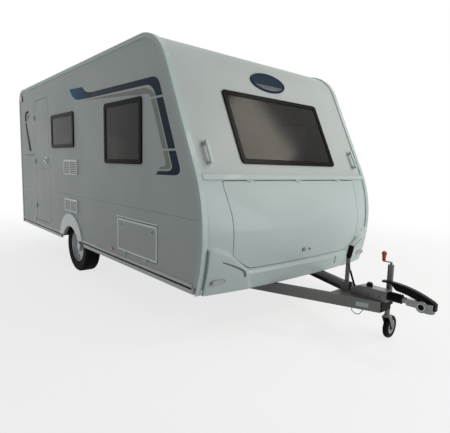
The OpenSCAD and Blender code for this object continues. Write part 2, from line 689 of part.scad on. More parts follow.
module rim2d() union() {
    translate([rim_r - lip_t, tyre_y0 + bead_in]) square([lip_t, tyre_w - 2 * bead_in]);
    translate([face_r, disc_y]) square([rim_r - lip_t / 2 - face_r, disc_t]);
    translate([stub_r + seat_gap, disc_y - face_d]) square([face_r + 10 - stub_r, face_d + 4]);
    translate([stub_r + seat_gap, disc_y - face_d - 16]) square([drum_r - stub_r, 20]);
    translate([drum_r - drum_t, drum_y0]) square([drum_t, disc_y - face_d - drum_y0]);
    translate([stub_r + seat_gap, disc_y - 10]) square([cap_r - stub_r, cap_l]);
    translate([0, disc_y + cap_l - 10]) square([cap_r, drum_t - 2]);
}
rim_holes = 10;
rim_hole_r = 14;
rim_hole_at = 152;
module rim(side) on_axle(side) difference() {
    rotate_extrude($fn = round_n) rim2d();
    for (i = [1:rim_holes]) rotate([0, 0, 360 * i / rim_holes]) translate([rim_hole_at, 0, disc_y - 1])
        cylinder(r = rim_hole_r, h = disc_t + 2, $fn = 20);
}
module rim_left() color("gainsboro") rim(1);
module rim_right() color("gainsboro") rim(-1);

// Hitch
housing_l = 285;
housing_w = 50;
housing_x0 = bar_front - housing_l;
housing_ramp = [90, 40];
housing_wall = 8;
housing_nose = 30;
housing_top = shaft_z + 38;
bar_top = bar_z + bar_h;
module overrun_housing() color("silver") difference() {
    across(-housing_w, housing_w) polygon([[housing_x0, bar_top], [bar_front + housing_nose, bar_top],
        [bar_front + housing_nose, housing_top], [housing_x0 + housing_ramp.x, housing_top],
        [housing_x0, housing_top - housing_ramp.y]]);
    box(housing_x0 + housing_wall, bar_front - housing_wall, -housing_w + housing_wall,
        housing_w - housing_wall, bar_top - 1, bar_top + housing_wall);
}
bellows_x0 = bar_front + housing_nose;
bellows_x1 = bar_front + 138;
shaft_r = 24;
fold_n = 12;
fold_in = 31;
fold_out = 38;
module bellows() color("black") translate([bellows_x0, 0, shaft_z]) rotate([0, 90, 0])
    rotate_extrude() polygon(concat([[0, 0]],
        [for (i = [0:fold_n]) [i % 2 == 0 ? fold_in : fold_out, (bellows_x1 - bellows_x0) * i / fold_n]],
        [[0, bellows_x1 - bellows_x0]]));
cup_r = 41;
hood_t = 8;
hood_gap = 1;
hood_low = 22;
hood_top = 18;
ball_x = tip_x - cup_r - hood_t - hood_gap;
ball_depth = 44;
cup_z0 = shaft_z - 46;
cup_z1 = shaft_z + 24;
neck_l = 40;
neck_w = 30;
pad_r = 42;
pad_in = 26;
pad_w = 52;
pad_back = 36;
module coupling_head() color("silver") difference() {
    union() {
        translate([ball_x, 0, cup_z0]) cylinder(r = cup_r, h = cup_z1 - cup_z0);
        box(bellows_x1 + neck_l, ball_x, -neck_w, neck_w, shaft_z - 28, cup_z1);
        translate([bellows_x1, 0, shaft_z]) rotate([0, 90, 0]) cylinder(r = shaft_r, h = 60);
        both_sides() translate([ball_x - pad_back, pad_in, shaft_z - 4]) rotate([-90, 0, 0])
            cylinder(r = pad_r, h = pad_w - pad_in);
    }
    translate([ball_x, 0, cup_z0 - 1]) cylinder(r = ball_r, h = ball_depth + 1);
}
grip_r = 760;
grip_c = [tip_x - 350, 530 - grip_r];
grip_a0 = 95;
grip_a1 = 67.5;
grip_low_a = 72;
grip_tail = 16;
grip_head = 58;
grip_w = 23;
grip_n = 16;
grip_step = 0.78;
grip_fade = 0.2;
// Underside of the handle, thick over the ball and thin at its rear end
function grip_depth(f) = grip_tail + (grip_head - grip_tail) * ease((grip_step - f) / grip_fade);
function grip_low(f) = grip_c + (grip_r - grip_depth(f)) * dir(grip_low_a + (grip_a0 - grip_low_a) * f);
module coupling_handle() color([0.08, 0.08, 0.08]) across(-grip_w, grip_w) polygon(concat(
    arc(grip_c, grip_r, grip_a0, grip_a1, 10), [[tip_x - hood_top, cup_z1 + hood_top], [tip_x, cup_z1],
    [tip_x, cup_z0 + hood_low], [tip_x - hood_t, cup_z0 + hood_low], [tip_x - hood_t, cup_z1],
    [ball_x - 70, cup_z1]],
    [for (i = [0:grip_n]) grip_low(i / grip_n)]));
lever_x = bar_front - housing_l - 66;
lever_top = 640;
grip_lean = 13;
cheek_l = 36;
cheek_h = 70;
lever_w = 17;
module at_lever() translate([lever_x, 0, bar_top]) children();
lever_len = lever_top - bar_top;
module handbrake_lever() color("lightgray") at_lever() union() {
    both_sides() box(-cheek_l, cheek_l, 20, 30, 0, cheek_h);
    box(-lever_w, lever_w, -20 + seat_gap, 20 - seat_gap, 6, cheek_h);
    box(-lever_w, lever_w, -7, 7, cheek_h - 10, lever_len);
    translate([0, -30, 40]) rotate([-90, 0, 0]) cylinder(r = 9, h = 60);
}
hand_l = 112;
hand_r = 15;
module handbrake_grip() color("black") at_lever() translate([0, 0, lever_len + seat_gap]) union() {
    up(0, hand_r) plate2d(-lever_w, -lever_w, lever_w, lever_w, hand_r);
    rotate([0, grip_lean, 0]) up(hand_r / 2, hand_l) plate2d(-21, -lever_w, 21, lever_w, hand_r);
}
plug_x = bar_front - 140;
module plug_holder() color("black") translate([plug_x, 0, housing_top]) union() {
    cylinder(r = 25, h = 22);
    translate([0, 0, 22]) cylinder(r = 17, h = 8);
}
jockey_back = 420;
jockey_x = tip_x - jockey_back;
tube_r = leg_r + 4;
tube_z0 = 302;
tube_z1 = 630;
clamp_z0 = 312;
clamp_z1 = 392;
clamp_t = 12;
clamp_x0 = jockey_x - tube_r - clamp_t;
clamp_x1 = jockey_x + tube_r + clamp_t;
strap_z0 = bar_z + 8;
strap_z1 = bar_top - 4;
strap_t = 10;
strap_x = bar_front + seat_gap;
module at_jockey(z) translate([jockey_x, jockey_y, z]) children();
// Clamp beside the drawbar, on a strap that goes round its tip
module jockey_clamp() color([0.1, 0.1, 0.1]) difference() {
    union() {
        up(clamp_z0, clamp_z1) polygon([[clamp_x0, bar_y(clamp_x0) + seat_gap],
            [clamp_x1, bar_y(clamp_x1) + seat_gap], [clamp_x1, jockey_y], [clamp_x0, jockey_y]]);
        at_jockey(clamp_z0) cylinder(r = tube_r + clamp_t, h = clamp_z1 - clamp_z0);
        up(strap_z0, strap_z1) polygon([[clamp_x0, bar_y(clamp_x0) + seat_gap],
            [strap_x, bar_tip_y + seat_gap], [strap_x, -bar_tip_y], [strap_x + strap_t, -bar_tip_y],
            [strap_x + strap_t, bar_tip_y + strap_t], [clamp_x0, bar_y(clamp_x0) + strap_t]]);
    }
    at_jockey(clamp_z0 - 1) cylinder(r = tube_r + seat_gap / 2, h = far);
}
tube_cap = 8;
crank_l = 74;
crank_w = 18;
crank_t = 8;
crank_rise = 14;
knob_r = 13;
knob_h = 58;
module jockey_tube() color("silver") at_jockey(0) union() {
    difference() {
        up(tube_z0, tube_z1) circle(tube_r);
        up(tube_z0 - 1, tube_z1 - tube_cap) circle(leg_r + seat_gap);
    }
    up(tube_z1, tube_z1 + crank_rise + crank_t) circle(crank_w / 2);
    up(tube_z1 + crank_rise, tube_z1 + crank_rise + crank_t) plate2d(-crank_l, -crank_w / 2, crank_w / 2,
        crank_w / 2, crank_w / 2 - 1);
    translate([crank_w / 2 - crank_l, 0, tube_z1 + crank_rise + crank_t]) cylinder(r = knob_r, h = knob_h);
}
fork_top = 216;
leg_top = 530;
module jockey_leg() color("lightgray") at_jockey(fork_top) cylinder(r = leg_r, h = leg_top - fork_top);
fork_in = 27;
fork_t = 5;
sleeve_r = 25;
pin_r = 8;
fork_z = jockey_r + 100;
bridge_t = 8;
fork_eye = 20;
// The wheel trails to the left
jockey_turn = 94;
module at_swivel() at_jockey(0) rotate([0, 0, jockey_turn]) children();
module jockey_fork() color("silver") at_swivel() union() {
    up(fork_z, fork_top - seat_gap) circle(sleeve_r);
    box(-sleeve_r, sleeve_r, -fork_in - fork_t, fork_in + fork_t, fork_z, fork_z + bridge_t);
    both_sides() across(fork_in, fork_in + fork_t) polygon(concat([[-sleeve_r, fork_z]],
        arc([jockey_trail, jockey_r], fork_eye, 215, 395, 8), [[sleeve_r, fork_z]]));
    translate([jockey_trail, -fork_in, jockey_r]) rotate([-90, 0, 0]) cylinder(r = pin_r, h = 2 * fork_in);
}
jockey_w = 44;
hub_r = 24;
rubber_r = 66;
web_in = 8;
rubber_round = 16;
// Half of the jockey wheel's section, from the bore to the tread: radius, place along the axle
half_section = concat([[pin_r + seat_gap, -jockey_w / 2], [hub_r, -jockey_w / 2],
    [hub_r + 2, web_in - jockey_w / 2], [rubber_r - 4, web_in - jockey_w / 2], [rubber_r, -jockey_w / 2]],
    arc([jockey_r - rubber_round, rubber_round - jockey_w / 2], rubber_round, -90, 0, 3));
module jockey_wheel() color([0.12, 0.12, 0.12]) at_swivel() translate([jockey_trail, 0, jockey_r])
    rotate([-90, 0, 0]) rotate_extrude() polygon(concat(half_section,
        [for (i = [len(half_section) - 1:-1:0]) [half_section[i].x, -half_section[i].y]]));

// Corner steadies: pivot from the rearmost point, direction of the leg
steady_y = half_w - 350;
steady_l = 440;
steady_z = 345;
steady_w = 40;
steady_t = 26;
pivot_r = 8;
pivot_end = 24;
foot_l = 120;
foot_w = 110;
foot_t = 6;
steady_rear = 760;
steady_front = 4030;
ear_gap = 5;
ear_t = 5;
module at_steady(s, d, side) translate([back_x + s, side * steady_y, steady_z])
    mirror([d < 0 ? 1 : 0, 0, 0]) children();
module steady() difference() {
    union() {
        translate([-pivot_end, -steady_w / 2, -steady_t / 2])
            cube([steady_l + pivot_end, steady_w, steady_t]);
        translate([steady_l - foot_l / 2, -foot_w / 2, -steady_t / 2 - foot_t])
            cube([foot_l, foot_w, foot_t]);
    }
    translate([0, steady_w, 0]) rotate([90, 0, 0]) cylinder(r = pivot_r + seat_gap, h = 2 * steady_w);
    translate([steady_w, -steady_w / 2 + ear_t, -steady_t / 2 + ear_t])
        cube([steady_l - foot_w, steady_w - 2 * ear_t, steady_t]);
}
module steady_rear_left() color("silver") at_steady(steady_rear, -1, 1) steady();
module steady_rear_right() color("silver") at_steady(steady_rear, -1, -1) steady();
module steady_front_left() color("silver") at_steady(steady_front, 1, 1) steady();
module steady_front_right() color("silver") at_steady(steady_front, 1, -1) steady();
ear_y = steady_w / 2 + ear_gap;
ear_l = 22;
ear_low = 18;
bracket_l = 34;
module steady_bracket() union() {
    box(-bracket_l, bracket_l, -ear_y - ear_t, ear_y + ear_t, floor_z - steady_z - foot_t,
        floor_z - steady_z);
    both_sides() box(-ear_l, ear_l, ear_y, ear_y + ear_t, -ear_low, floor_z - steady_z);
    translate([0, ear_y + ear_t, 0]) rotate([90, 0, 0]) cylinder(r = pivot_r, h = 2 * (ear_y + ear_t));
}
module steady_brackets() color("slategray") both_sides() {
    at_steady(steady_rear, -1, 1) steady_bracket();
    at_steady(steady_front, 1, 1) steady_bracket();
}

// Cabin
unit_d = 520;
bench_s0 = nose_x - back_x - 2140;
bench_d = 560;
bench_h = 300;
cushion_t = 110;
back_h = 400;
bench_x1 = bulk_x - bulk_t;
worktop_z = 1330;
board_t = 16;
// A cabinet of boards against the left wall, open to the wall
module cabinet(x0, x1, depth, z1) difference() {
    box(x0, x1, in_w - depth, in_w, floor_top, z1);
    box(x0 + board_t, x1 - board_t, in_w - depth + board_t, in_w + 1, floor_top - 1, z1 - board_t);
}
// Kitchen unit, wardrobe and washroom panel, from the rearmost point
kitchen_x0 = back_x + 1560;
kitchen_x1 = back_x + 2700;
sink_x0 = kitchen_x0 + 140;
sink_l = 400;
sink_in = 80;
robe_x0 = back_x + 1150;
robe_x1 = back_x + 1780;
robe_top = roof_z - 220;
wash_x0 = back_x + 1025;
wash_t = 25;
wash_y = 250;
wash_top = roof_z - 160;
module cabin_furniture() color("burlywood") {
    mirror([0, 1, 0]) difference() {
        cabinet(kitchen_x0, kitchen_x1, unit_d, worktop_z);
        box(sink_x0, sink_x0 + sink_l, in_w - unit_d + sink_in, in_w - sink_in, worktop_z - 2 * board_t,
            worktop_z + 1);
    }
    cabinet(robe_x0, robe_x1, bench_d, robe_top);
    box(wash_x0, wash_x0 + wash_t, wash_y, in_w, floor_top, wash_top);
    both_sides() cabinet(back_x + bench_s0, bench_x1, bench_d, floor_top + bench_h);
}
seat_over = 20;
seat_z = floor_top + bench_h + cushion_t;
module seat_cushions() color("saddlebrown") both_sides() {
    box(back_x + bench_s0, bench_x1 - seat_gap, in_w - bench_d - seat_over, in_w - seat_gap,
        seat_z - cushion_t + seat_gap, seat_z);
    box(back_x + bench_s0, bench_x1 - seat_gap, in_w - cushion_t - seat_over, in_w - seat_gap,
        seat_z + seat_gap, seat_z + back_h);
}
table_x = (back_x + bench_s0 + bench_x1) / 2;
table_z = 1140;
table_t = 28;
table_l = 900;
table_w = 540;
table_r = 60;
leg_table_r = 35;
foot_table_r = 160;
foot_table_t = 14;
module table() color("tan") union() {
    up(table_z, table_z + table_t) plate2d(table_x - table_l / 2, -table_w / 2, table_x + table_l / 2,
        table_w / 2, table_r);
    translate([table_x, 0, floor_top]) cylinder(r = leg_table_r, h = table_z - floor_top);
    translate([table_x, 0, floor_top]) cylinder(r = foot_table_r, h = foot_table_t);
}

floor();
chassis_rails();
cross_members();
drawbar();
axle_tube();
trailing_arms();
tyre_left();
tyre_right();
rim_left();
rim_right();
wall_right();
wall_left();
roof_panel();
front_panel();
rear_wall();
front_moulding();
locker_bulkhead();
window_frames();
window_panes();
awning_rails();
side_skirts();
arch_trims();
wheel_boxes();
hinge_blocks();
entry_door();
door_handle();
fridge_vents();
grab_handles();
front_plaque();
front_rail();
rear_bumper();
red_lamps();
amber_lamps();
white_lamps();
rooflights();
overrun_housing();
bellows();
coupling_head();
coupling_handle();
handbrake_lever();
handbrake_grip();
jockey_clamp();
plug_holder();
jockey_tube();
jockey_leg();
jockey_fork();
jockey_wheel();
steady_rear_left();
steady_rear_right();
steady_front_left();
steady_front_right();
steady_brackets();
front_lid();
side_hatch();
cassette_door();
cabin_furniture();
seat_cushions();
table();
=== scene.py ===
# %% [markdown]
# # A touring caravan, dressed over its solids
# The solids come in as one frame: every body of the caravan at rest, in metres, X to the hitch and Z up.
# Blender leaves them where they are. It gives each surface its finish and adds what solids leave plain:
# the smooth front moulding, tyre tread, stripes, seams, locks, bolts and cushions.

import json
import math

import bmesh
import bpy
from mathutils import Matrix, Vector


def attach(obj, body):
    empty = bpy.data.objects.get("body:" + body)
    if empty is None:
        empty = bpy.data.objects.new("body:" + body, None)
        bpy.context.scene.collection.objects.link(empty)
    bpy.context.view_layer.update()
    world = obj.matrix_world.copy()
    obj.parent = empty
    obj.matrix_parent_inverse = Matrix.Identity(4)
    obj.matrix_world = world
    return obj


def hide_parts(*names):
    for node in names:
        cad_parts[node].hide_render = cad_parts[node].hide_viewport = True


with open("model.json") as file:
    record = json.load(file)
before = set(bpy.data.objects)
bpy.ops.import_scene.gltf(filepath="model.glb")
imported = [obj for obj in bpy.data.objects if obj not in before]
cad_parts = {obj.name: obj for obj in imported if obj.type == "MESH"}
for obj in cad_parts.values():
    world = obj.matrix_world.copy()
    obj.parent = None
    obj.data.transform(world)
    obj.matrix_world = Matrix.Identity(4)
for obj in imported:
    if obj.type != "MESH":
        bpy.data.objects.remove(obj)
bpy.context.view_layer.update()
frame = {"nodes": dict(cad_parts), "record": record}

# %% [markdown]
# ## Selecting and editing
# An operator works on all that is selected, and the solids come in selected. So each step first clears the selection
# and takes its own object. Edit mode is entered and left by helpers, because a forgotten mode stops the next operator.

# %% Selecting and editing
merge_gap = 1e-5


def solo(o):
    bpy.ops.object.select_all(action="DESELECT")
    o.select_set(True)
    bpy.context.view_layer.objects.active = o
    return o


def edit(o):
    solo(o)
    bpy.ops.object.mode_set(mode="EDIT")
    bpy.ops.mesh.select_mode(type="FACE")
    bpy.ops.mesh.select_all(action="DESELECT")


def done():
    bpy.ops.object.mode_set(mode="OBJECT")


def clean(o):
    edit(o)
    bpy.ops.mesh.select_all(action="SELECT")
    bpy.ops.mesh.remove_doubles(threshold=merge_gap)
    bpy.ops.mesh.normals_make_consistent(inside=False)
    done()
    return o


print("points closer than", merge_gap, "m are merged")

# %% [markdown]
# ## Starting shapes
# Most small parts of a caravan are sawn, turned or cut from sheet. Blocks, rods and outlines start them here in the
# same way. A mesh typed in point by point would be hard to change. A bevel then takes the sharpness off, and parts
# that are one piece on the caravan are joined.

# %% Starting shapes
def apply(o, kind, **settings):
    m = o.modifiers.new(kind.lower(), kind)
    for key, value in settings.items():
        setattr(m, key, value)
    solo(o)
    bpy.ops.object.modifier_apply(modifier=m.name)
    return o


def soften(o, width, segments=2):
    return apply(o, "BEVEL", width=width, segments=segments, limit_method="ANGLE", angle_limit=0.6)


def join(parts):
    solo(parts[0])
    for p in parts:
        p.select_set(True)
    if len(parts) > 1:
        bpy.ops.object.join()
    return bpy.context.object


def block(lo, hi):
    size = [b - a for a, b in zip(lo, hi)]
    bpy.ops.mesh.primitive_cube_add(size=1, location=[(a + b) / 2 for a, b in zip(lo, hi)], scale=size)
    bpy.ops.object.transform_apply(location=True, rotation=True, scale=True)
    return bpy.context.object


def rod(a, b, r, n=24, r2=None):
    a, b = Vector(a), Vector(b)
    turn = (b - a).to_track_quat("Z", "Y").to_euler()
    bpy.ops.mesh.primitive_cone_add(vertices=n, radius1=r, radius2=r if r2 is None else r2, depth=(b - a).length,
                                    location=(a + b) / 2, rotation=turn)
    bpy.ops.object.transform_apply(location=True, rotation=True, scale=True)
    return bpy.context.object


def wire(name, points, closed=True):
    n = len(points)
    mesh = bpy.data.meshes.new(name)
    mesh.from_pydata(points, [(i, (i + 1) % n) for i in range(n if closed else n - 1)], [])
    o = bpy.data.objects.new(name, mesh)
    bpy.context.collection.objects.link(o)
    return solo(o)


def slab(points, step):
    o = wire("slab", points)
    bpy.ops.object.mode_set(mode="EDIT")
    bpy.ops.mesh.select_all(action="SELECT")
    bpy.ops.mesh.edge_face_add()
    bpy.ops.mesh.extrude_region_move(TRANSFORM_OT_translate={"value": step})
    done()
    return clean(o)


print("block, rod and slab start the pieces")

# %% [markdown]
# ## Settling a piece
# A finished piece keeps its place in its mesh, gets shading and finish, and is tied to the body that carries it. That
# could be repeated at each piece. One helper does it, so that nothing is left behind when a door or wheel moves.

# %% Settling a piece
finish = {}


def settle(o, name, body, slot, angle=35):
    solo(o)
    bpy.ops.object.transform_apply(location=True, rotation=True, scale=True)
    bpy.ops.object.shade_smooth_by_angle(angle=math.radians(angle))
    o.name = name
    o.data.name = name
    o.data.materials.clear()
    o.data.materials.append(finish[slot])
    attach(o, body)
    return o


print(len(frame["nodes"]), "solids wait for their finish")

# %% [markdown]
# ## What a finish is made of
# A real surface is never one flat colour. It could be painted as a picture, but each solid would then need unwrapping.
# Two noises on Object coordinates do it for all of them: a wide one drifts colour and gloss, as dust and age do, and a
# fine one gives the grain as a bump. Road dirt grows towards the ground, and steel is bright where its edges rub.

# %% What a finish is made of
drift_scale, drift_detail = 1.7, 5.0
road_dust, dust_top, dust_full = (0.20, 0.17, 0.13), 0.95, 0.36
rub_width, grain_depth = 0.004, 0.002


def blend_in(nodes, links, tone, colour, amount):
    over = nodes.new("ShaderNodeMix")
    over.data_type = "RGBA"
    over.inputs["B"].default_value = (*colour, 1)
    if isinstance(tone, tuple):
        over.inputs["A"].default_value = (*tone, 1)
    else:
        links.new(tone, over.inputs["A"])
    links.new(amount, over.inputs["Factor"])
    return over.outputs["Result"]


def ramp(nodes, links, value, start, end, low=0.0, high=1.0):
    node = nodes.new("ShaderNodeMapRange")
    for key, number in (("From Min", start), ("From Max", end), ("To Min", low), ("To Max", high)):
        node.inputs[key].default_value = number
    links.new(value, node.inputs["Value"])
    return node.outputs["Result"]


def rubbed(nodes, links, wear):
    edge, face = nodes.new("ShaderNodeBevel"), nodes.new("ShaderNodeNewGeometry")
    edge.samples = 4
    edge.inputs["Radius"].default_value = rub_width
    match = nodes.new("ShaderNodeVectorMath")
    match.operation = "DOT_PRODUCT"
    links.new(edge.outputs["Normal"], match.inputs[0])
    links.new(face.outputs["Normal"], match.inputs[1])
    return ramp(nodes, links, match.outputs["Value"], 0.99, 0.80, 0.0, wear)


print("dirt fades out", dust_top, "m above the ground")

# %% [markdown]
# ## One finish
# One shader serves paint, plastic, rubber, metal and pane alike. Plain numbers go straight on its sockets, because the
# export reads them there. Only colour, roughness and bump are fed by nodes.

# %% One finish
def finish_of(name, colour, rough, metal=0.0, grain=200.0, bump=0.03, drift=0.06, coat=0.0, through=0.0, wear=0.0,
              dirt=0.0, shine=0.5, bend=1.5):
    m = bpy.data.materials.new(name)
    m.use_nodes = True
    nodes, links = m.node_tree.nodes, m.node_tree.links
    shader = nodes["Principled BSDF"]
    for socket, value in (("Metallic", metal), ("Coat Weight", coat), ("Specular IOR Level", shine),
                          ("Transmission Weight", through), ("IOR", bend)):
        shader.inputs[socket].default_value = value
    coords = nodes.new("ShaderNodeTexCoord")
    wide, fine = nodes.new("ShaderNodeTexNoise"), nodes.new("ShaderNodeTexNoise")
    wide.inputs["Scale"].default_value = drift_scale
    wide.inputs["Detail"].default_value = drift_detail
    fine.inputs["Scale"].default_value = grain
    for noise in (wide, fine):
        links.new(coords.outputs["Object"], noise.inputs["Vector"])
    aged = [c * (1 - 2 * drift) for c in colour]
    tone = blend_in(nodes, links, colour, aged, ramp(nodes, links, wide.outputs["Fac"], 0.35, 0.75))
    if dirt:
        split = nodes.new("ShaderNodeSeparateXYZ")
        links.new(coords.outputs["Object"], split.inputs[0])
        tone = blend_in(nodes, links, tone, road_dust,
                        ramp(nodes, links, split.outputs["Z"], dust_top, dust_full, 0.0, dirt))
    if wear:
        bare = [min(1, c * 1.6 + 0.08) for c in colour]
        tone = blend_in(nodes, links, tone, bare, rubbed(nodes, links, wear))
    links.new(tone, shader.inputs["Base Color"])
    gloss = ramp(nodes, links, wide.outputs["Fac"], 0.0, 1.0, rough * 0.8, min(1, rough * 1.2))
    links.new(gloss, shader.inputs["Roughness"])
    relief = nodes.new("ShaderNodeBump")
    relief.inputs["Strength"].default_value = bump
    relief.inputs["Distance"].default_value = grain_depth
    links.new(fine.outputs["Fac"], relief.inputs["Height"])
    links.new(relief.outputs["Normal"], shader.inputs["Normal"])
    return m


print("each finish has", drift_scale, "waves of drift a metre")

# %% [markdown]
# ## The list of finishes
# Each row is one material of the caravan: colour, roughness and what sets it apart. Painted sheet, moulded plastic,
# zinc, rubber and acrylic differ more by grain and gloss than by colour. Each could be set where it is used. A list
# keeps them side by side, which makes it easy to tune one against the other. Four accents have no slot of their own.

# %% The list of finishes
rows = {
    "white_panel": ((0.48, 0.525, 0.517), 0.44, dict(grain=42, bump=0.16, drift=0.03, dirt=0.12, shine=0.18)),
    "white_plastic": ((0.455, 0.54, 0.535), 0.45,
                      dict(grain=300, bump=0.01, drift=0.03, coat=0.2, dirt=0.08, shine=0.3)),
    "floor_board": ((0.30, 0.22, 0.14), 0.6, dict(grain=120, bump=0.1, drift=0.15)),
    "galvanised": ((0.13, 0.133, 0.127), 0.42, dict(metal=0.55, grain=60, bump=0.08, drift=0.16, wear=0.5)),
    "dark_steel": ((0.035, 0.037, 0.039), 0.5, dict(metal=0.4, grain=160, bump=0.08, drift=0.15, wear=0.3)),
    "tyre": ((0.008, 0.008, 0.0085), 0.72, dict(grain=260, bump=0.15, drift=0.2, shine=0.08)),
    "silver_rim": ((0.42, 0.445, 0.46), 0.35, dict(metal=0.7, grain=200, drift=0.08)),
    "black_frame": ((0.005, 0.005, 0.0055), 0.25, dict(grain=200, bump=0.02, drift=0.2, shine=0.03)),
    "tinted_pane": ((0.075, 0.073, 0.066), 0.13, dict(grain=3, bump=0.01, drift=0.05, through=0.92, bend=1.19)),
    "skirt": ((0.60, 0.63, 0.62), 0.42, dict(grain=150, bump=0.05, drift=0.1, wear=0.3)),
    "dark_plastic": ((0.009, 0.009, 0.0095), 0.42, dict(grain=320, bump=0.1, drift=0.15, wear=0.1, shine=0.04)),
    "grey_plastic": ((0.23, 0.245, 0.225), 0.45, dict(grain=320, bump=0.06, drift=0.08, shine=0.2)),
    "blue_plaque": ((0.006, 0.024, 0.050), 0.22, dict(grain=200, bump=0.02, drift=0.1, shine=0.05)),
    "red_lens": ((0.45, 0.01, 0.008), 0.15, dict(grain=160, bump=0.15, coat=0.5, through=0.2)),
    "amber_lens": ((0.75, 0.20, 0.01), 0.15, dict(grain=160, bump=0.15, coat=0.5, through=0.2)),
    "clear_lens": ((0.52, 0.55, 0.57), 0.1, dict(grain=160, bump=0.2, coat=0.5, through=0.4)),
    "roof_dome": ((0.70, 0.72, 0.72), 0.3, dict(grain=100, bump=0.03, through=0.2)),
    "cast_steel": ((0.21, 0.214, 0.214), 0.36, dict(metal=0.85, grain=130, bump=0.15, drift=0.15, wear=0.5)),
    "cabinet_wood": ((0.34, 0.20, 0.10), 0.45, dict(grain=30, bump=0.08, drift=0.15)),
    "upholstery": ((0.19, 0.17, 0.15), 0.85, dict(grain=700, bump=0.3, drift=0.12)),
}
for name, (colour, rough, more) in rows.items():
    finish[name] = finish_of(name, colour, rough, **more)
# A blue for the leaf; its brighter end is a painted highlight.
painted_highlight_blue = finish_of("painted_highlight_blue", (0.012, 0.125, 0.27), 0.3, drift=0.12, shine=0.03)
# A lighter copy of the white plastic: painted light, for the light that the rounded trims, vents, handle and rims
# catch.
painted_light_trim = finish_of("painted_light_trim", (0.74, 0.79, 0.785), 0.35, grain=300, bump=0.01, drift=0.03, coat=0.3)
# Slate: the own grey of the plaque field, and painted shade in the bumper slots.
slate_and_painted_shade = finish_of("slate_and_painted_shade", (0.13, 0.14, 0.15), 0.3, drift=0.05, shine=0.15)
red_knob = finish_of("red_knob", (0.42, 0.03, 0.015), 0.4, bump=0.05)
for part in frame["record"]["subparts"]:
    node = frame["nodes"][part["node"]]
    node.data.materials.clear()
    node.data.materials.append(finish[part["material_slot"]])
# Arch trims, fridge vents and door handle wear the lighter copy as painted light.
for name in ("arch_trims", "fridge_vents", "door_handle"):
    frame["nodes"][name].data.materials[0] = painted_light_trim
print(len(finish), "finishes on", len(frame["nodes"]), "solids")

# %% [markdown]
# ## Softened edges
# No real edge is perfectly sharp. The edges could be rounded in the solids, but that would cost thousands of faces. The
# solids keep their meshes, and two modifiers work on top of them: one welds the loose triangles together, the other
# rounds each edge by a few millimetres, so that it catches the light.

# %% Softened edges
edge_mm = {"drawbar": 2, "overrun_housing": 4, "coupling_head": 4, "coupling_handle": 5, "handbrake_lever": 2,
           "handbrake_grip": 4, "plug_holder": 3, "jockey_clamp": 2, "jockey_fork": 1.5, "rear_bumper": 8,
           "red_lamps": 4, "amber_lamps": 3, "white_lamps": 3, "window_frames": 2, "front_rail": 4, "rooflights": 8,
           "door_handle": 3, "arch_trims": 2, "awning_rails": 2, "fridge_vents": 1, "entry_door": 2, "side_hatch": 2,
           "cassette_door": 2, "cabin_furniture": 3, "table": 4, "rim_left": 1.5, "rim_right": 1.5, "front_plaque": 3}
for name, width in edge_mm.items():
    node = frame["nodes"][name]
    weld = node.modifiers.new("weld", "WELD")
    weld.merge_threshold = merge_gap
    bevel = node.modifiers.new("bevel", "BEVEL")
    bevel.width, bevel.segments = width / 1000, 2
    bevel.limit_method, bevel.angle_limit = "ANGLE", math.radians(40)
print(len(edge_mm), "solids have soft edges")

# %% [markdown]
# ## The form of the front
# The lower front is one moulding, bowed in plan, curved in side view and stepped at the bumper. It could be sculpted,
# but then the lid, the lamps and the slots would each have to be fitted to it by eye. Here one function gives the
# front at any place, and every piece there asks it.

# %% The form of the front
nose_x, nose_z, nose_r, chin_r, slope_a = 1.825, 0.85, 1.15, 1.45, math.radians(25.6)
mould_w, apron_z, split_z, rail_h = 1.103, 0.374, 1.290, 0.044
bow_d, bow_power, bow_fade = 0.095, 2.6, 0.42
crease_z, crease_rise, crease_in, crease_soft = 0.534, 0.228, 0.700, 0.03
bumper_d, cheek_d, cheek_in, cheek_slant, cheek_soft = 0.024, 0.014, 0.648, 0.34, 0.04
slope_off = (nose_x - nose_r) * math.cos(slope_a) + nose_z * math.sin(slope_a) + nose_r


def ease(t):
    t = min(1, max(0, t))
    return t * t * (3 - 2 * t)


def front_x(z):
    if z < nose_z:
        return nose_x - chin_r + math.sqrt(chin_r**2 - (z - nose_z) ** 2)
    if z < nose_z + nose_r * math.sin(slope_a):
        return nose_x - nose_r + math.sqrt(nose_r**2 - (z - nose_z) ** 2)
    return (slope_off - z * math.sin(slope_a)) / math.cos(slope_a)


def mould_x(y, z, stepped=True):
    bow = bow_d * (1 - (abs(y) / mould_w) ** bow_power) * ease((split_z - rail_h / 2 - z) / bow_fade)
    crease = crease_z + crease_rise * math.sin(math.pi / 2 * max(0, abs(y) - crease_in) / (mould_w - crease_in))
    cheek = cheek_d * ease((abs(y) - cheek_in - cheek_slant * (z - apron_z)) / cheek_soft)
    return front_x(z) + bow + ((bumper_d + cheek) * ease((crease - z) / crease_soft) if stepped else 0)


print("the nose reaches", round(mould_x(0, nose_z), 3), "m")

# %% [markdown]
# ## Sheets on the form
# On the caravan the moulding is a sheet of plastic, drawn over a tool and trimmed, and the locker lid is a second sheet
# of the same form. A plane could be bent by hand. Here a fine grid is laid on the form and given its thickness by an
# extrusion, so that both sheets agree everywhere.

# %% Sheets on the form
sheet_t, sheet_n = 0.026, (110, 150)
lid_top, lid_low = 1.262, 0.548
lid_half = [(0.919, lid_top), (0.884, 0.985), (0.874, 0.662), (0.698, lid_low)]


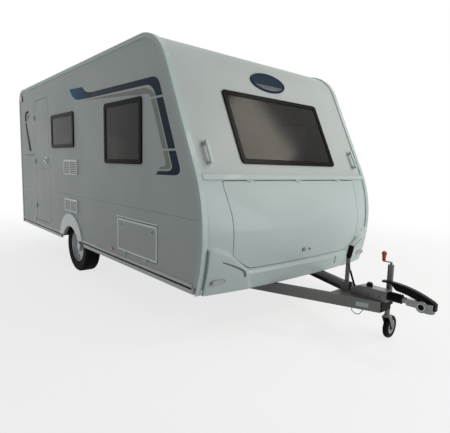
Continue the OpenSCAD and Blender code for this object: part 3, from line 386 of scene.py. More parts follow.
def draped(corners, nu, nv, lift, stepped=True):
    bpy.ops.mesh.primitive_grid_add(x_subdivisions=nu, y_subdivisions=nv, size=2)
    o = bpy.context.object
    a, b, c, d = (Vector(p) for p in corners)
    for v in o.data.vertices:
        u, w = (v.co.x + 1) / 2, (v.co.y + 1) / 2
        p = (a * (1 - u) + b * u) * (1 - w) + (d * (1 - u) + c * u) * w
        v.co = (mould_x(p.x, p.y, stepped) + lift, p.x, p.y)
    return o


def backed(o, depth):
    edit(o)
    bpy.ops.mesh.select_all(action="SELECT")
    bpy.ops.mesh.extrude_region_move(TRANSFORM_OT_translate={"value": (-depth, 0, 0)})
    done()
    return clean(o)


def sheet(stepped):
    corners = [(-mould_w, apron_z), (mould_w, apron_z), (mould_w, split_z), (-mould_w, split_z)]
    return backed(draped(corners, *sheet_n, 0, stepped), sheet_t)


def cut(o, tool, how):
    apply(o, "BOOLEAN", operation=how, object=tool, solver="EXACT")
    bpy.data.objects.remove(tool)
    return o


def lid_tool(inset, r):
    shift = {lid_top: -inset, lid_low: inset}
    ring = [(y - inset, z + shift.get(z, 0)) for y, z in lid_half]
    ring += [(-y, z) for y, z in reversed(ring)]
    o = slab([(1.2, y, z) for y, z in ring], (1.2, 0, 0))
    return apply(o, "BEVEL", width=r, segments=5, limit_method="ANGLE", angle_limit=0.25)


print("the lid is", round(lid_top - lid_low, 3), "m high")

# %% [markdown]
# ## The moulding and its lid
# The lid's outline is cut out of one sheet and kept from the other, a little smaller, so that an even gap runs round
# it. A Boolean does it, because it leaves the clean trimmed edge that a bevel can round. Lamp pockets are cut in the
# same way. The lid takes its hinge leaves along, since they swing with it.

# %% The moulding and its lid
lid_gap, lid_corner, opening_corner = 0.006, 0.03, 0.033
lamp_y, lamp_z, pocket_w, pocket_h = 1.002, 0.480, 0.0625, 0.021
hinge_ys, leaf_gap, leaf_w = (-0.620, 0.0, 0.620), 0.0003, 0.040
lid = sheet(False)
cut(lid, lid_tool(lid_gap, lid_corner), "INTERSECT")
moulding = sheet(True)
cut(moulding, lid_tool(0.0, opening_corner), "DIFFERENCE")
for side in (-1, 1):
    y0, y1 = side * lamp_y - pocket_w, side * lamp_y + pocket_w
    pocket = block((1.4, y0, lamp_z - pocket_h), (2.2, y1, lamp_z + pocket_h))
    cut(moulding, soften(pocket, 0.02, 5), "DIFFERENCE")
for o in (lid, moulding):
    soften(o, 0.003)
pin_x, pin_z, pin_r = front_x(lid_top) + 0.008, 1.261, 0.005
leaves = [lid]
for y in hinge_ys:
    y0, y1 = y + leaf_gap, y + leaf_gap + leaf_w
    leaves.append(rod((pin_x, y0, pin_z), (pin_x, y1, pin_z), pin_r, 24))
    leaves.append(soften(block((pin_x - 0.020, y0, pin_z - 0.026), (pin_x + 0.003, y1, pin_z)), 0.002))
lid = join(leaves)
settle(moulding, "moulding_skin", "caravan", "white_plastic", 30)
settle(lid, "lid_skin", "front_lid", "white_plastic", 30)
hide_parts("front_moulding")
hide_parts("front_lid")
print("moulding", len(moulding.data.polygons), "faces, lid", len(lid.data.polygons))

# %% [markdown]
# ## Tyres
# A tyre is a profile turned round the axle, so a spin of its outline is the shortest way to it. Four grooves run round
# the tread. Every third face of the shoulders is sunk a little, which gives the side blocks of a road tyre without
# modelling each block. Five hexagon bolts hold the wheel.

# %% Tyres
axle_x, tyre_r, rim_r = -0.865, 0.315, 0.190
tyre_mid, tyre_half, tyre_steps = 0.9975, 0.0925, 112
shoulder_r, groove_d = 0.026, 0.007
block_r, block_y0, block_y1, block_d = 0.296, 0.046, 0.0885, 0.006
bolt_n, bolt_circle, bolt_r = 5, 0.057, 0.0105


def pick(o, test):
    bm = bmesh.from_edit_mesh(o.data)
    for f in bm.faces:
        f.select_set(bool(test(f.calc_center_median())))
    bmesh.update_edit_mesh(o.data)


def spun(points, centre, axis, steps):
    o = wire("spun", points)
    bpy.ops.object.mode_set(mode="EDIT")
    bpy.ops.mesh.select_all(action="SELECT")
    bpy.ops.mesh.spin(steps=steps, angle=2 * math.pi, center=centre, axis=axis)
    done()
    return clean(o)


def tyre_ring():
    half = [(rim_r, -0.0785), (rim_r + 0.012, -0.0855), (0.2525, -0.0923), (0.272, -0.0905), (0.274, -0.0915)]
    half += [(0.289 + shoulder_r * math.sin(a), -0.0645 - shoulder_r * math.cos(a)) for a in (0.3, 0.7, 1.1, 1.45)]
    for g in (-0.042, -0.014):
        half += [(tyre_r, g - 0.005), (tyre_r - groove_d, g - 0.0035), (tyre_r - groove_d, g + 0.0035),
                 (tyre_r, g + 0.005)]
    return half + [(r, -y) for r, y in reversed(half)]


for side, name in ((1, "left"), (-1, "right")):
    profile = [(axle_x, side * tyre_mid + y, tyre_r + r) for r, y in tyre_ring()]
    tyre = spun(profile, (axle_x, 0, tyre_r), (0, 1, 0), tyre_steps)

    def shoulder(c):
        turn = math.atan2(c.z - tyre_r, c.x - axle_x) / (2 * math.pi) * tyre_steps
        far = math.hypot(c.x - axle_x, c.z - tyre_r) > block_r
        return int(math.floor(turn)) % 3 == 0 and block_y0 < abs(c.y - side * tyre_mid) < block_y1 and far

    edit(tyre)
    pick(tyre, shoulder)
    bpy.ops.mesh.inset(thickness=0.0005, depth=-block_d, use_individual=False)
    done()
    settle(tyre, "tyre_tread_" + name, "wheel_" + name, "tyre", 40)
    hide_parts("tyre_" + name)
    bolts = []
    for i in range(bolt_n):
        a = 2 * math.pi * i / bolt_n
        y = side * (tyre_mid + tyre_half - 0.054)
        p = (axle_x + bolt_circle * math.cos(a), y, tyre_r + bolt_circle * math.sin(a))
        bolts.append(rod(p, (p[0], y + side * 0.014, p[2]), bolt_r, 6))
    settle(soften(join(bolts), 0.001), "wheel_bolts_" + name, "wheel_" + name, "galvanised", 20)
print("tyre", len(tyre.data.polygons), "faces each")

# %% [markdown]
# ## Stripes
# The side stripes are foil, cut from flat outlines and laid on the wall. They could be drawn in a material, but then
# they would be lost in the mesh that is exported. Each one is an outline here, in metres from the rear end and from
# the ground. Short curves round the corners, as a foil cutter would. All of them are plain colour fields but the
# leaf, which carries a painted highlight.

# %% Outlines of the stripes
rear_end, wall_y, foil_t = 3.075, 1.150, 0.0006
blue_w, grey_in, grey_out = 0.105, 0.123, 0.189


def at(z, inset=0.0, height=None):
    return (4.295 + 0.450 * (2.016 - z) - inset, z if height is None else height)


def bow2(p, q, r, n=8):
    return [tuple((1 - t) ** 2 * a + 2 * t * (1 - t) * b + t * t * c for a, b, c in zip(p, q, r))
            for t in (i / n for i in range(n + 1))]


blue_top = [(2.93, 2.052), (4.08, 2.036)] + bow2((4.08, 2.036), at(2.03, blue_w), at(1.93, blue_w))
blue_top += [at(1.93), at(2.02)] + bow2(at(2.02), at(2.09), (4.16, 2.092)) + [(2.93, 2.108)]
blue_mid = [at(1.912, blue_w), at(1.912), at(1.499), at(1.499, blue_w)]
blue_low = [at(1.481, blue_w), at(1.481)] + bow2(at(1.36), at(1.29, 0, 1.288), (4.50, 1.288))
blue_low += [(4.235, 1.284), (4.268, 1.316)] + bow2((4.40, 1.318), at(1.33, blue_w, 1.32), at(1.37, blue_w))
leaf = bow2((2.272, 2.208), (2.36, 2.07), (2.56, 2.062)) + [(2.927, 2.052), (2.927, 2.108)]
leaf += bow2((2.86, 2.112), (2.74, 2.12), (2.66, 2.19), 5)
grey_top = bow2((2.69, 2.043), (3.4, 2.03), (3.98, 2.018), 4) + bow2((4.04, 2.016), at(2.0, grey_in), at(1.93, grey_in))
grey_top += [at(1.93, grey_out)] + bow2(at(1.935, grey_out), (4.14, 1.966), (4.0, 1.968), 5)
grey_mid = [at(1.912, grey_out), at(1.912, grey_in), at(1.499, grey_in), at(1.499, grey_out)]
grey_low = [at(1.481, grey_out), at(1.481, grey_in), at(1.37, grey_in)]
grey_low += bow2(at(1.37, grey_in), at(1.33, grey_in, 1.332), (4.37, 1.331), 5) + [(4.285, 1.330), (4.31, 1.352)]
grey_low += bow2((4.34, 1.353), at(1.37, grey_out, 1.355), at(1.40, grey_out), 4)
rear_top = [(0.565, 2.10), (0.565, 2.065)] + bow2((0.50, 2.062), (0.43, 2.05), (0.435, 1.95), 6)
rear_top += [(0.362, 1.95)] + bow2((0.352, 2.0), (0.35, 2.10), (0.48, 2.10), 6)
rear_low = [(0.364, 1.932), (0.437, 1.932), (0.645, 1.51), (0.54, 1.51)]
rear_grey = [(0.60, 2.045), (0.60, 2.005)] + bow2((0.57, 2.0), (0.50, 1.99), (0.50, 1.95), 5)
rear_grey += [(0.452, 1.95)] + bow2((0.452, 1.99), (0.455, 2.04), (0.53, 2.043), 5)
print("the blue band is", blue_w, "m wide")

# %% [markdown]
# ## Laying the foils
# Each outline is filled in edit mode and given the thickness of foil, on both walls. The leaf at the end of the band
# fades from a bright blue at its rear end to navy: the bright blue is a painted highlight, the navy the foil's own
# colour. Several pieces in steps of colour could do that. A ramp along X in one material paints it, without steps.

# %% Laying the foils
highlight_ramp_start, highlight_ramp_end, navy = -0.72, -0.15, (0.010, 0.022, 0.042)


def foil(name, shapes, slot, material=None):
    for side in (-1, 1):
        parts = [slab([(s - rear_end, side * wall_y, z) for s, z in ring], (0, side * foil_t, 0)) for ring in shapes]
        o = settle(join(parts), name + ("_right" if side < 0 else "_left"), "caravan", slot)
        o.data.materials[0] = material or finish[slot]


foil("stripe_blue", [blue_top, blue_mid, blue_low], "blue_plaque")
foil("stripe_dark", [rear_top, rear_low], "dark_plastic")
foil("stripe_grey", [grey_top, grey_mid, grey_low, rear_grey], "grey_plastic")
# The leaf's painted highlight: bright blue at the rear, ramped to navy along X.
nodes, links = painted_highlight_blue.node_tree.nodes, painted_highlight_blue.node_tree.links
place, axes = nodes.new("ShaderNodeTexCoord"), nodes.new("ShaderNodeSeparateXYZ")
links.new(place.outputs["Object"], axes.inputs[0])
base = nodes["Principled BSDF"].inputs["Base Color"]
painted_highlight_ramp = ramp(nodes, links, axes.outputs["X"], highlight_ramp_start, highlight_ramp_end)
links.new(blend_in(nodes, links, base.links[0].from_socket, navy, painted_highlight_ramp), base)
foil("stripe_leaf", [leaf], "blue_plaque", painted_highlight_blue)
print("stripes of", foil_t * 1000, "mm foil on both sides")

# %% [markdown]
# ## Seams and trims
# The walls are two sheets high, joined at one line, and the door has a line where its halves meet. A groove cut in the
# wall would be hard to see. These are thin strips, because a caravan builder also covers the joint with a strip.

# %% Seams and trims
seam_z0, seam_z1, seam_t = 0.9625, 0.9655, 0.0008
back_end, door_x0, door_x1, front_edge = -2.965, -2.232, -1.603, 0.032


def strips(name, boxes, lift, body, slot, sides=(-1, 1), base=wall_y):
    parts = []
    for side in sides:
        for x0, x1, z0, z1 in boxes:
            y0, y1 = sorted((side * base, side * (base + lift)))
            parts.append(block((x0, y0, z0), (x1, y1, z1)))
    return settle(join(parts), name, body, slot)


seam_front = front_x((seam_z0 + seam_z1) / 2) - front_edge
right_runs = [(back_end, door_x0, seam_z0, seam_z1), (door_x1, seam_front, seam_z0, seam_z1)]
strips("wall_seam_right", right_runs, seam_t, "caravan", "grey_plastic", (-1,))
strips("wall_seam_left", [(back_end, seam_front, seam_z0, seam_z1)], seam_t, "caravan", "grey_plastic", (1,))
strips("door_seam", [(-2.212, -1.622, 1.2575, 1.2605)], seam_t, "entry_door", "grey_plastic", (-1,))
strips("rear_ledge", [(-2.795, -2.315, 1.455, 1.474)], 0.006, "caravan", "white_plastic")
strips("rear_ledge_shadow", [(-2.795, -2.315, 1.446, 1.4545)], 0.001, "caravan", "dark_plastic")
skirt_runs = [(-2.99, axle_x - 0.378, 0.410, 0.4325), (axle_x + 0.378, 1.69, 0.410, 0.4325)]
strips("skirt_insert", skirt_runs, 0.0012, "caravan", "dark_plastic", base=1.146)
print("wall seams end at", round(seam_front, 3), "m")

# %% [markdown]
# ## Locks and hatch rims
# A locker hatch has a moulded rim with round corners and turned locks. The rim could be a bent tube, but its flat face
# shows, so a plane gets bevelled corners, an inset gives its width and an extrusion its height.

# %% Locks and hatch rims
def caps(name, places, side, base, r, body, slot, high=0.006):
    parts = [rod((x, side * base, z), (x, side * (base + high), z), r, 28) for x, z in places]
    return settle(soften(join(parts), high / 5), name, body, slot)


def rim(name, lo, hi, side, body, radius=0.022, width=0.020, lift=0.004):
    bpy.ops.mesh.primitive_plane_add(size=1, location=((lo[0] + hi[0]) / 2, side * wall_y, (lo[1] + hi[1]) / 2),
                                     rotation=(side * -math.pi / 2, 0, 0))
    o = bpy.context.object
    o.scale = (hi[0] - lo[0], hi[1] - lo[1], 1)
    bpy.ops.object.transform_apply(location=True, rotation=True, scale=True)
    edit(o)
    bpy.ops.mesh.select_all(action="SELECT")
    bpy.ops.mesh.bevel(offset=radius, segments=6, affect="VERTICES")
    bpy.ops.mesh.select_mode(type="FACE")
    bpy.ops.mesh.select_all(action="SELECT")
    bpy.ops.mesh.inset(thickness=width, depth=0)
    bpy.ops.mesh.delete(type="FACE")
    bpy.ops.mesh.select_all(action="SELECT")
    bpy.ops.mesh.extrude_region_move(TRANSFORM_OT_translate={"value": (0, side * lift, 0)})
    done()
    # The rim wears the lighter white: painted light.
    settle(soften(clean(o), 0.0015), name, body, "white_plastic").data.materials[0] = painted_light_trim


lock_r, key_r, key_t = 0.015, 0.006, 0.0015
for prefix, places, side, body in (("hatch", [(1.103, 0.779), (0.517, 0.779)], -1, "side_hatch"),
                                   ("cassette", [(-2.615, 0.79)], 1, "cassette_door")):
    caps(prefix + "_locks", places, side, wall_y, lock_r, body, "white_plastic")
    caps(prefix + "_keys", places, side, wall_y + 0.0055, key_r, body, "dark_plastic", key_t)
rim("hatch_rim", (0.432, 0.515), (1.188, 0.836), -1, "side_hatch")
rim("cassette_rim", (-2.788, 0.515), (-2.442, 0.831), 1, "cassette_door")
# The drip strip above the hatch wears the lighter white too: painted light.
drip = strips("hatch_drip", [(0.418, 1.202, 0.850, 0.860)], 0.011, "caravan", "white_plastic", (-1,))
drip.data.materials[0] = painted_light_trim
print("two hatches have rims and locks")

# %% [markdown]
# ## Vents and latch
# The refrigerator breathes through two vents with a grey mesh between their louvres. A real mesh would cost a great
# many faces, so a plain field fills each gap. The lid has a latch and a lock low on its face.

# %% Vents and latch
vents = ((2.050, 2.478, 1.212, 1.390), (2.042, 2.460, 0.762, 0.918))
louvre_n, vent_edge, clear = 7, 0.016, 0.0002
mesh_y0, mesh_y1 = -1.1552, -1.1541
mesh_fields = []
for s0, s1, z0, z1 in vents:
    pitch, run = (z1 - z0 - 2 * vent_edge) / louvre_n, (s1 - s0 - 3 * vent_edge) / 2
    for x in (s0 - rear_end + vent_edge, s1 - rear_end - vent_edge - run):
        for i in range(louvre_n):
            z = z0 + vent_edge + i * pitch
            low, high = (x + clear, mesh_y0, z + clear), (x + run - clear, mesh_y1, z + 0.55 * pitch - clear)
            mesh_fields.append(block(low, high))
settle(join(mesh_fields), "vent_mesh", "caravan", "grey_plastic")
face = mould_x(-0.05, 0.645, False)
latch = soften(block((face - 0.012, -0.072, 0.628), (face + 0.009, -0.028, 0.660)), 0.004)
key = rod((face - 0.01, 0.032, 0.64), (face + 0.007, 0.032, 0.64), 0.011, 24)
settle(join([latch, key]), "lid_latch", "front_lid", "grey_plastic")
print(len(mesh_fields), "fields of mesh in", len(vents), "vents")

# %% [markdown]
# ## Slots in the bumper
# The cheeks of the bumper carry a slanted slot, and the apron one upright slot for the crank of a steady. Cutting them
# would need a tool for each curve. A dark ribbon is draped over the form of the moulding instead, so that it follows
# it.
# It is painted shade: it stands for the shade inside the slots, which are not cut.

# %% Slots in the bumper
slot_lift, slot_t = 0.0012, 0.003


def ribbon(path, width, end_width):
    points = [Vector(p) for p in path]
    steps = [(b - a).normalized() for a, b in zip(points, points[1:])]
    edges = []
    for i, p in enumerate(points):
        along = (steps[max(0, i - 1)] + steps[min(i, len(steps) - 1)]).normalized()
        wide = width + (end_width - width) * i / (len(points) - 1)
        off = Vector((-along.y, along.x)) * wide / 2
        edges.append((p - off, p + off))
    fields = [draped([a0, b0, b1, a1], 10, 3, slot_lift) for (a0, a1), (b0, b1) in zip(edges, edges[1:])]
    return backed(clean(join(fields)), slot_t)


cheek_slot = bow2((0.985, 0.642), (0.86, 0.596), (0.79, 0.556), 5)
cheek_slot += bow2((0.79, 0.556), (0.757, 0.536), (0.752, 0.492), 5)[1:]
slots = [ribbon([(s * y, z) for y, z in cheek_slot], 0.009, 0.024) for s in (-1, 1)]
slots.append(ribbon([(0.482, 0.512), (0.488, 0.470), (0.496, 0.432)], 0.014, 0.018))
# The ribbons are painted shade: dark sheets for the shade inside the slots.
settle(join(slots), "bumper_slot_shade", "caravan", "grey_plastic").data.materials[0] = slate_and_painted_shade
print("slots in the bumper:", len(slots))

# %% [markdown]
# ## The plaque
# The oval plate on the front is bare: a dark blue field, a grey field below it with fine lines, and a dark blue rim.
# The rim could be a scaled torus, but that would be thick at the ends. It is a wire bent to the oval, as such a trim
# ring is made, and a curve with a bevel gives it an even round section.

# %% The plaque
def tube(points, r, closed=False):
    o = wire("tube", points, closed)
    bpy.ops.object.convert(target="CURVE")
    o = bpy.context.object
    o.data.bevel_depth = r
    o.data.bevel_resolution = 3
    o.data.use_fill_caps = True
    bpy.ops.object.convert(target="MESH")
    return clean(bpy.context.object)


left = Vector((0, 1, 0))
out = Vector((math.cos(slope_a), 0, math.sin(slope_a)))
rise = Vector((-math.sin(slope_a), 0, math.cos(slope_a)))
plaque_z, plaque_t = 2.18, 0.010
plaque = Vector((front_x(plaque_z), 0, plaque_z)) + out * plaque_t
rim_w, rim_h, field_w, field_h, field_t = 0.229, 0.098, 0.205, 0.082, 0.0008


def on_plaque(w, h, lift):
    return plaque + left * w + rise * h + out * lift


turns = [2 * math.pi * i / 64 for i in range(64)]
oval = tube([on_plaque(rim_w * math.cos(a), rim_h * math.sin(a), 0) for a in turns], 0.0045, True)
settle(oval, "plaque_rim", "caravan", "blue_plaque")
lower = [a for a in turns if math.sin(a) < -0.30]
field = slab([on_plaque(field_w * math.cos(a), field_h * math.sin(a), 0) for a in lower], out * field_t)
settle(field, "plaque_field", "caravan", "grey_plastic").data.materials[0] = slate_and_painted_shade
lines = []
for h in (-0.034, -0.046, -0.058):
    half = 0.198 * math.sqrt(1 - (h / field_h) ** 2)
    lines.append(tube([on_plaque(-half, h, field_t), on_plaque(half, h, field_t)], 0.0012))
settle(join(lines), "plaque_lines", "caravan", "blue_plaque")
print("plaque:", 2 * rim_w, "by", 2 * rim_h, "m")

# %% [markdown]
# ## The back
# The lamp clusters are one moulded lens with an amber and a clear field. Bands of colour in one material could show
# that, but would leave the lens flat. Thin blocks with soft edges lie on it instead. A slim brake lamp sits high on
# the wall, and the seam of the side sheets runs on round the back.

# %% The back
cluster_y, cluster_half = 0.944, 0.132
lens_x0, lens_x1, rear_x = -3.0452, -3.0425, -3.0002
for name, z0, z1, slot in (("turn_fields", 0.645, 0.684, "amber_lens"), ("reverse_fields", 0.566, 0.590, "clear_lens")):
    fields = []
    for y in (-cluster_y, cluster_y):
        fields.append(block((lens_x0, y - cluster_half, z0), (lens_x1, y + cluster_half, z1)))
    settle(soften(join(fields), 0.001), name, "caravan", slot)
brake_bar = soften(block((-3.006, -0.17, 2.125), (rear_x, 0.17, 2.150)), 0.002)
settle(brake_bar, "brake_bar", "caravan", "red_lens")
settle(block((-3.0010, -1.095, seam_z0), (rear_x, 1.095, seam_z1)), "rear_seam", "caravan", "grey_plastic")
print("lamp fields at", cluster_y, "m each side")

# %% [markdown]
# ## Grab handles
# The grab handles are a bar on two feet, square to the sloping panel. They could be one bent tube, but the real bar is
# flat. Each bar starts as a block, and a wide bevel makes it kind to the hand.

# %% Grab handles
grab_y, grab_z, foot_at, foot_gap = 1.000, 1.465, 0.082, 0.0003
grabs = []
lean = Matrix((rise, left, out)).transposed().to_4x4()
for side in (-1, 1):
    bar = soften(block((-0.100, -0.017, 0.034), (0.100, 0.017, 0.050)), 0.0075, 4)
    ends = (-foot_at, foot_at)
    feet = [rod((e, 0, foot_gap), (e, 0, 0.040), 0.017, 28, 0.013) for e in ends]
    pads = [soften(rod((e, 0, foot_gap), (e, 0, 0.005), 0.022, 28), 0.002) for e in ends]
    grab = join([bar] + feet + pads)
    grab.matrix_world = Matrix.Translation((front_x(grab_z), side * grab_y, grab_z)) @ lean
    grabs.append(grab)
grab = settle(join(grabs), "grab_bars", "caravan", "white_plastic")
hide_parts("grab_handles")
print("grab handles at", grab_z, "m")

# %% [markdown]
# ## Lamp rims
# The front lamps sit in a moulded rim. A flat ring would stand off the curved bumper. A wire that follows the form of
# the front, bent to the rounded outline of the lamp, lies on it all the way round.

# %% Lamp rims
lamp_w, lamp_h = 0.0605, 0.0195
rims = []
for side in (-1, 1):
    ring = []
    for a in turns[::2]:
        u, w = math.cos(a), math.sin(a)
        y = side * lamp_y + lamp_w * math.copysign(abs(u) ** 0.5, u)
        z = lamp_z + lamp_h * math.copysign(abs(w) ** 0.7, w)
        ring.append((mould_x(y, z) + 0.001, y, z))
    rims.append(tube(ring, 0.0035, True))
settle(join(rims), "lamp_rims", "caravan", "grey_plastic")
print("front lamps", 2 * lamp_w, "m wide")

# %% [markdown]
# ## The hitch
# Small parts tell what the hitch does. Caps with a bright ring close the friction pads of the coupling, and hexagon
# bolts hold the overrun. They could be painted on, but they stand out from the castings and catch the light. They are
# turned parts on the real thing, so rods and spins make them here.

# %% Coupling and overrun
pad_x, pad_y, pad_z = 2.989, 0.052, 0.408
hex_xs, hex_z, hex_r = (2.46, 2.56, 2.66), 0.392, 0.011
ring_profile = ((0.0225, 0.0522), (0.0225, 0.0570), (0.0285, 0.0570), (0.0300, 0.0522))
pads = [rod((pad_x, s * pad_y, pad_z), (pad_x, s * 0.056, pad_z), 0.022, 32) for s in (-1, 1)]
settle(soften(join(pads), 0.0015), "pad_caps", "caravan", "dark_plastic")
rings = []
for s in (-1, 1):
    ring = [(pad_x, s * y, pad_z + r) for r, y in ring_profile]
    rings.append(spun(ring, (pad_x, s * pad_y, pad_z), (0, 1, 0), 48))
settle(join(rings), "pad_rings", "caravan", "silver_rim")
hexes = [rod((x, s * 0.050, hex_z), (x, s * 0.058, hex_z), hex_r, 6) for s in (-1, 1) for x in hex_xs]
settle(soften(join(hexes), 0.001), "overrun_bolts", "caravan", "galvanised", 20)
print(len(pads), "friction pads,", len(hexes), "bolts")

# %% [markdown]
# ## Brake spring, plate and wire guide
# A gas spring lifts the brake lever, a blank plate sits on the side of the drawbar, and a bent rod guides the safety
# wire. A gas spring has no coils to model, so two rods, thin and thick, make it. The guide could be joined from short
# rods, but a tube along a few points bends without gaps.

# %% Brake spring, plate and wire guide
spring_y = -0.016
spring_top, spring_mid, spring_end = (2.352, spring_y, 0.60), (2.375, spring_y, 0.54), (2.425, spring_y, 0.418)
spring = [rod(spring_top, spring_mid, 0.005), rod(spring_mid, spring_end, 0.0085)]
settle(join(spring), "brake_spring", "caravan", "dark_plastic")


def beam_y(x):
    return 0.066 + 0.36 * (2.690 - x)


sign = slab([(x, -beam_y(x), z) for x, z in ((2.515, 0.302), (2.605, 0.302), (2.605, 0.338), (2.515, 0.338))],
            (0, -0.0015, 0))
settle(sign, "rating_plate_blank", "caravan", "white_plastic")
guide = [(2.47, -beam_y(2.47) + 0.03, 0.278), (2.48, -0.125, 0.25), (2.51, -0.118, 0.232), (2.54, -0.112, 0.236),
         (2.555, -0.108, 0.258), (2.56, -beam_y(2.56) + 0.03, 0.278)]
settle(tube(guide, 0.0035), "wire_guide", "caravan", "cast_steel")
print("wire guide of", len(guide), "points under the drawbar")

# %% [markdown]
# ## Crank knob and grip
# The crank of the jockey ends in a red knob: a tapered rod and a ball do for it. The brake lever's grip has ribs for
# the hand. A bump would not show in its outline, so each rib is a thin tube round the leaning grip.

# %% Crank knob and grip
crank_x, jockey_y = 2.590, 0.121
knob_z0, knob_z1, ball_z, ball_r = 0.6525, 0.706, 0.709, 0.021
knob = [rod((crank_x, jockey_y, knob_z0), (crank_x, jockey_y, knob_z1), 0.0135, 28, 0.016)]
bpy.ops.mesh.primitive_uv_sphere_add(radius=ball_r, location=(crank_x, jockey_y, ball_z), segments=28, ring_count=16)
knob.append(bpy.context.object)
settle(join(knob), "crank_knob", "caravan", "red_lens").data.materials[0] = red_knob
lever_a, grip_x, grip_z = math.radians(13), 2.339, 0.6483
rib_n, rib_start, rib_pitch, rib_w, rib_d = 7, 0.012, 0.013, 0.0225, 0.0185
along, across = math.cos(lever_a), math.sin(lever_a)
ribs = []
for i in range(rib_n):
    h = rib_start + rib_pitch * i
    mid_x, mid_z = grip_x + h * across, grip_z + h * along
    ring = []
    for a in turns[::2]:
        w = rib_w * math.cos(a)
        ring.append((mid_x + w * along, rib_d * math.sin(a), mid_z - w * across))
    ribs.append(tube(ring, 0.0025, True))
settle(join(ribs), "grip_ribs", "caravan", "dark_plastic")
print(rib_n, "ribs on the grip")

# %% [markdown]
# ## The jockey wheel
# The small wheel has a plastic disc on each side. A disc placed by eye would wobble when the wheel turns. These are
# spun round the wheel's own spindle, which is set by the trail of the fork.

# %% Jockey wheel
up = Vector((0, 0, 1))
wheel_a, wheel_trail = math.radians(94), 0.068
disc_in, disc_out = 0.0142, 0.0172
trail = Vector((math.cos(wheel_a), math.sin(wheel_a), 0))
spindle = trail.cross(up)
middle = Vector((2.655, jockey_y, 0.095)) + trail * wheel_trail
hub = []
for s in (-1, 1):
    inner, outer = middle + spindle * s * disc_in, middle + spindle * s * disc_out
    ring = [inner + up * 0.0265, inner + up * 0.0610, outer + up * 0.0600, outer + up * 0.0275]
    hub.append(spun(ring, middle, spindle, 48))
settle(join(hub), "jockey_discs", "jockey_wheel", "grey_plastic")
print("jockey wheel at", [round(v, 3) for v in middle])

# %% [markdown]
# ## Behind the panes
# Through the dark panes one sees a blind of slats and the blind boxes over the side windows. A striped material on one
# board would look flat from the side. The slats are thin boards of their own, a hand behind the glass.

# %% Behind the panes
slat_n, slat_z, slat_pitch, behind = 20, 1.432, 0.0285, 0.085
ladder_low, ladder_top = 1.42, 2.0
slats = []
for i in range(slat_n):
    z = slat_z + i * slat_pitch
    x = front_x(z) - behind
    slats.append(block((x - 0.010, -0.585, z - 0.0012), (x + 0.010, 0.585, z + 0.0012)))
for y in (-0.40, 0.0, 0.40):
    foot, head = ((front_x(z) - behind, y, z) for z in (ladder_low, ladder_top))
    slats.append(rod(foot, head, 0.0015, 8))
x = front_x(ladder_top) - behind
slats.append(block((x - 0.025, -0.60, 1.985), (x + 0.025, 0.60, 2.03)))
settle(join(slats), "screen_blind", "caravan", "cabinet_wood")
right_box, left_box = (-1.148, -1.058), (1.058, 1.118)
tops = [block((a - rear_end, y0, 1.945), (b - rear_end, y1, 2.0))
        for a, b, (y0, y1) in ((1.59, 2.39, right_box), (3.23, 4.01, right_box), (1.89, 2.70, left_box),
                               (3.23, 4.01, left_box))]
settle(soften(join(tops), 0.006), "blind_boxes", "caravan", "white_plastic")
print(slat_n, "slats,", len(tops), "blind boxes")

# %% [markdown]
# ## Cushions
# A cushion is cloth drawn over foam. A bevelled box would look like a brick. Each one starts a little small, is
# remeshed evenly, and is blown up by a cloth simulation with slight pressure. It stays flat against the bench and the
# wall that hold it.

# %% Cushions
small, puff_cap, flat_zone, seat_gap = 0.014, 0.02, 0.012, 0.0008
puff_frames, puff_force = 20, 4


def puff(o):
    cloth = o.modifiers.new("cloth", "CLOTH")
    cloth.settings.use_pressure = True
    cloth.settings.uniform_pressure_force = puff_force
    cloth.settings.effector_weights.gravity = 0
    for frame_no in range(1, puff_frames + 1):
        bpy.context.scene.frame_set(frame_no)
    solo(o)
    bpy.ops.object.modifier_apply(modifier=cloth.name)
    bpy.context.scene.frame_set(1)


def cushion(name, lo, hi, flat):
    o = soften(block([v + small for v in lo], [v - small for v in hi]), 0.03, 4)
    apply(o, "REMESH", mode="VOXEL", voxel_size=0.015)
    start = [v.co.copy() for v in o.data.vertices]
    puff(o)
    for v, v0 in zip(o.data.vertices, start):
        move = v.co - v0
        v.co = v0 + move * min(1, puff_cap / max(move.length, 1e-9))
        for axis, side in flat:
            edge = lo[axis] if side < 0 else hi[axis]
            near = (v0[axis] - (edge - side * small)) * side > -flat_zone
            if near or (v.co[axis] - edge) * side > -seat_gap:
                v.co[axis] = edge - side * seat_gap
    apply(o, "SUBSURF", levels=1, render_levels=1)
    settle(o, name, "caravan", "upholstery", 60)
    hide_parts("seat_cushions")
    return len(o.data.polygons)


x0, x1, wall_side = -0.315, 1.3867, 1.1197
made = 0
for side, hand in ((1, "left"), (-1, "right")):
    for kind, inner, z0, z1 in (("seat_", 0.540, 0.7403, 0.850), ("back_", 0.990, 0.8503, 1.250)):
        y0, y1 = sorted((side * inner, side * wall_side))
        made += cushion(kind + hand, (x0, y0, z0), (x1, y1, z1), [(2, -1), (1, side)])
print("cushions:", made, "faces")

# %% [markdown]
# ## The studio
# The photograph is cut out on white. A pale floor and soft boxes keep the shade it shows: the front towards the light,
# the side with the door a little darker. More light would burn out the white body. So floor and world are white only to
# the camera and in what metal and glass mirror, and the floor keeps some of its shadow near the wheels.

# %% The floor
def shows_white(nodes, links):
    path = nodes.new("ShaderNodeLightPath")
    ray = path.outputs["Is Camera Ray"]
    for kind in ("Is Glossy Ray", "Is Transmission Ray"):
        either = nodes.new("ShaderNodeMath")
        either.operation = "MAXIMUM"
        links.new(ray, either.inputs[0])
        links.new(path.outputs[kind], either.inputs[1])
        ray = either.outputs["Value"]
    return ray


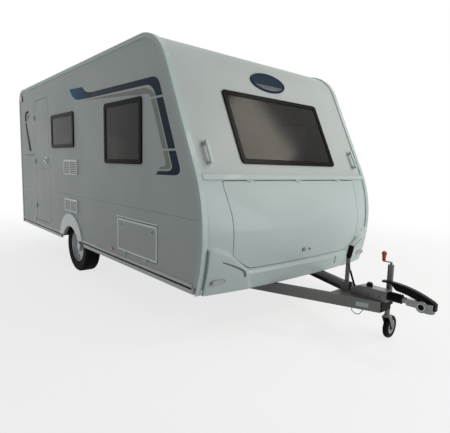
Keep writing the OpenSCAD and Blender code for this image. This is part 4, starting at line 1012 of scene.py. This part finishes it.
floor_w, shadow_in, shadow_out, white_near = 40, 3.2, 7.5, 0.75
scene = bpy.context.scene
bpy.ops.mesh.primitive_plane_add(size=floor_w, location=(0, 0, -0.001))
ground = bpy.context.object
ground.name = "studio_floor"
pale = finish_of("studio_floor", (0.85, 0.85, 0.85), 0.9, drift=0.01)
ground.data.materials.append(pale)
nodes, links = pale.node_tree.nodes, pale.node_tree.links
glow, cover = nodes.new("ShaderNodeEmission"), nodes.new("ShaderNodeMixShader")
place, reach = nodes.new("ShaderNodeTexCoord"), nodes.new("ShaderNodeVectorMath")
reach.operation = "LENGTH"
links.new(place.outputs["Object"], reach.inputs[0])
away = ramp(nodes, links, reach.outputs["Value"], shadow_in, shadow_out, white_near, 1.0)
amount = nodes.new("ShaderNodeMath")
amount.operation = "MULTIPLY"
links.new(shows_white(nodes, links), amount.inputs[0])
links.new(away, amount.inputs[1])
links.new(amount.outputs["Value"], cover.inputs["Fac"])
links.new(nodes["Principled BSDF"].outputs["BSDF"], cover.inputs[1])
links.new(glow.outputs["Emission"], cover.inputs[2])
links.new(cover.outputs["Shader"], nodes["Material Output"].inputs["Surface"])
print("floor", floor_w, "m wide")

# %% [markdown]
# ## Light
# Six soft boxes stand round the caravan: one in front, one on the door side, one above, two for the back and the far
# side, and a warm one under the ceiling that the windscreen mirrors. Large boxes are chosen over spots, because a body
# with so few edges shows its form by slow changes of shade.

# %% Light
plain, sky, sky_strength = (1, 1, 1), (0.86, 0.90, 0.92, 1), 0.20
boxes = {
    "key": ((8.5, 2.2, 2.6), (1, 0, 1.1), 5, 255, plain),
    "fill": ((-4.5, -8, 4), (-1, 0, 1.2), 6, 68, (1, 0.99, 0.97)),
    "ceiling": ((4.2, 3.35, 5.15), (1.5, -0.3, 1.7), 1.9, 82, (1, 0.91, 0.78)),
    "top": ((-1, 0, 8), (-0.5, 0, 0), 7, 95, plain),
    "back": ((-10, 3, 4), (-2, 0, 1.2), 5, 190, plain),
    "far": ((-1, 10, 4), (-1, 0, 1.2), 6, 170, plain),
}
for name, (spot, target, size, watts, tint) in boxes.items():
    bpy.ops.object.light_add(type="AREA", location=spot)
    lamp = bpy.context.object
    lamp.name = name
    lamp.data.size = size
    lamp.data.energy = watts
    lamp.data.color = tint
    lamp.rotation_euler = (Vector(target) - Vector(spot)).to_track_quat("-Z", "Y").to_euler()
world = bpy.data.worlds.new("studio")
scene.world = world
world.use_nodes = True
nodes, links = world.node_tree.nodes, world.node_tree.links
soft = nodes["Background"]
soft.inputs["Color"].default_value = sky
soft.inputs["Strength"].default_value = sky_strength
white, blend = nodes.new("ShaderNodeBackground"), nodes.new("ShaderNodeMixShader")
white.inputs["Color"].default_value = (1, 1, 1, 1)
links.new(shows_white(nodes, links), blend.inputs["Fac"])
links.new(soft.outputs["Background"], blend.inputs[1])
links.new(white.outputs["Background"], blend.inputs[2])
links.new(blend.outputs["Shader"], nodes["World Output"].inputs["Surface"])
print(len(boxes), "soft boxes,", sum(row[3] for row in boxes.values()), "W")

# %% [markdown]
# ## The camera
# The camera stands where the fit to the photograph put it. A camera placed by eye would never bring the long side, the
# nose and the hitch to their places together. The fit gave the angles, the place, the focal length and the small shift.

# %% The camera
photo_w, photo_h, focal_px, centre_x, centre_y = 450, 433, 401.63, 233.83, 220.83
film_w = 36
yaw, pitch, roll = (math.radians(a) for a in (138.256, -7.819, 1.718))
ahead = Vector((math.cos(pitch) * math.cos(yaw), math.cos(pitch) * math.sin(yaw), math.sin(pitch)))
level = ahead.cross(up).normalized()
above = level.cross(ahead)
right = level * math.cos(roll) + above * math.sin(roll)
upward = above * math.cos(roll) - level * math.sin(roll)
pose = Matrix((right, upward, -ahead)).transposed().to_4x4()
pose.translation = (4.157, -2.9248, 1.3786)
bpy.ops.object.camera_add()
camera = bpy.context.object
camera.matrix_world = pose
camera.data.sensor_width = film_w
camera.data.lens = focal_px / photo_w * film_w
camera.data.shift_x = (photo_w / 2 - centre_x) / photo_w
camera.data.shift_y = (centre_y - photo_h / 2) / photo_w
scene.camera = camera
scene.view_settings.view_transform = "Standard"
print("lens", round(camera.data.lens, 2), "mm")
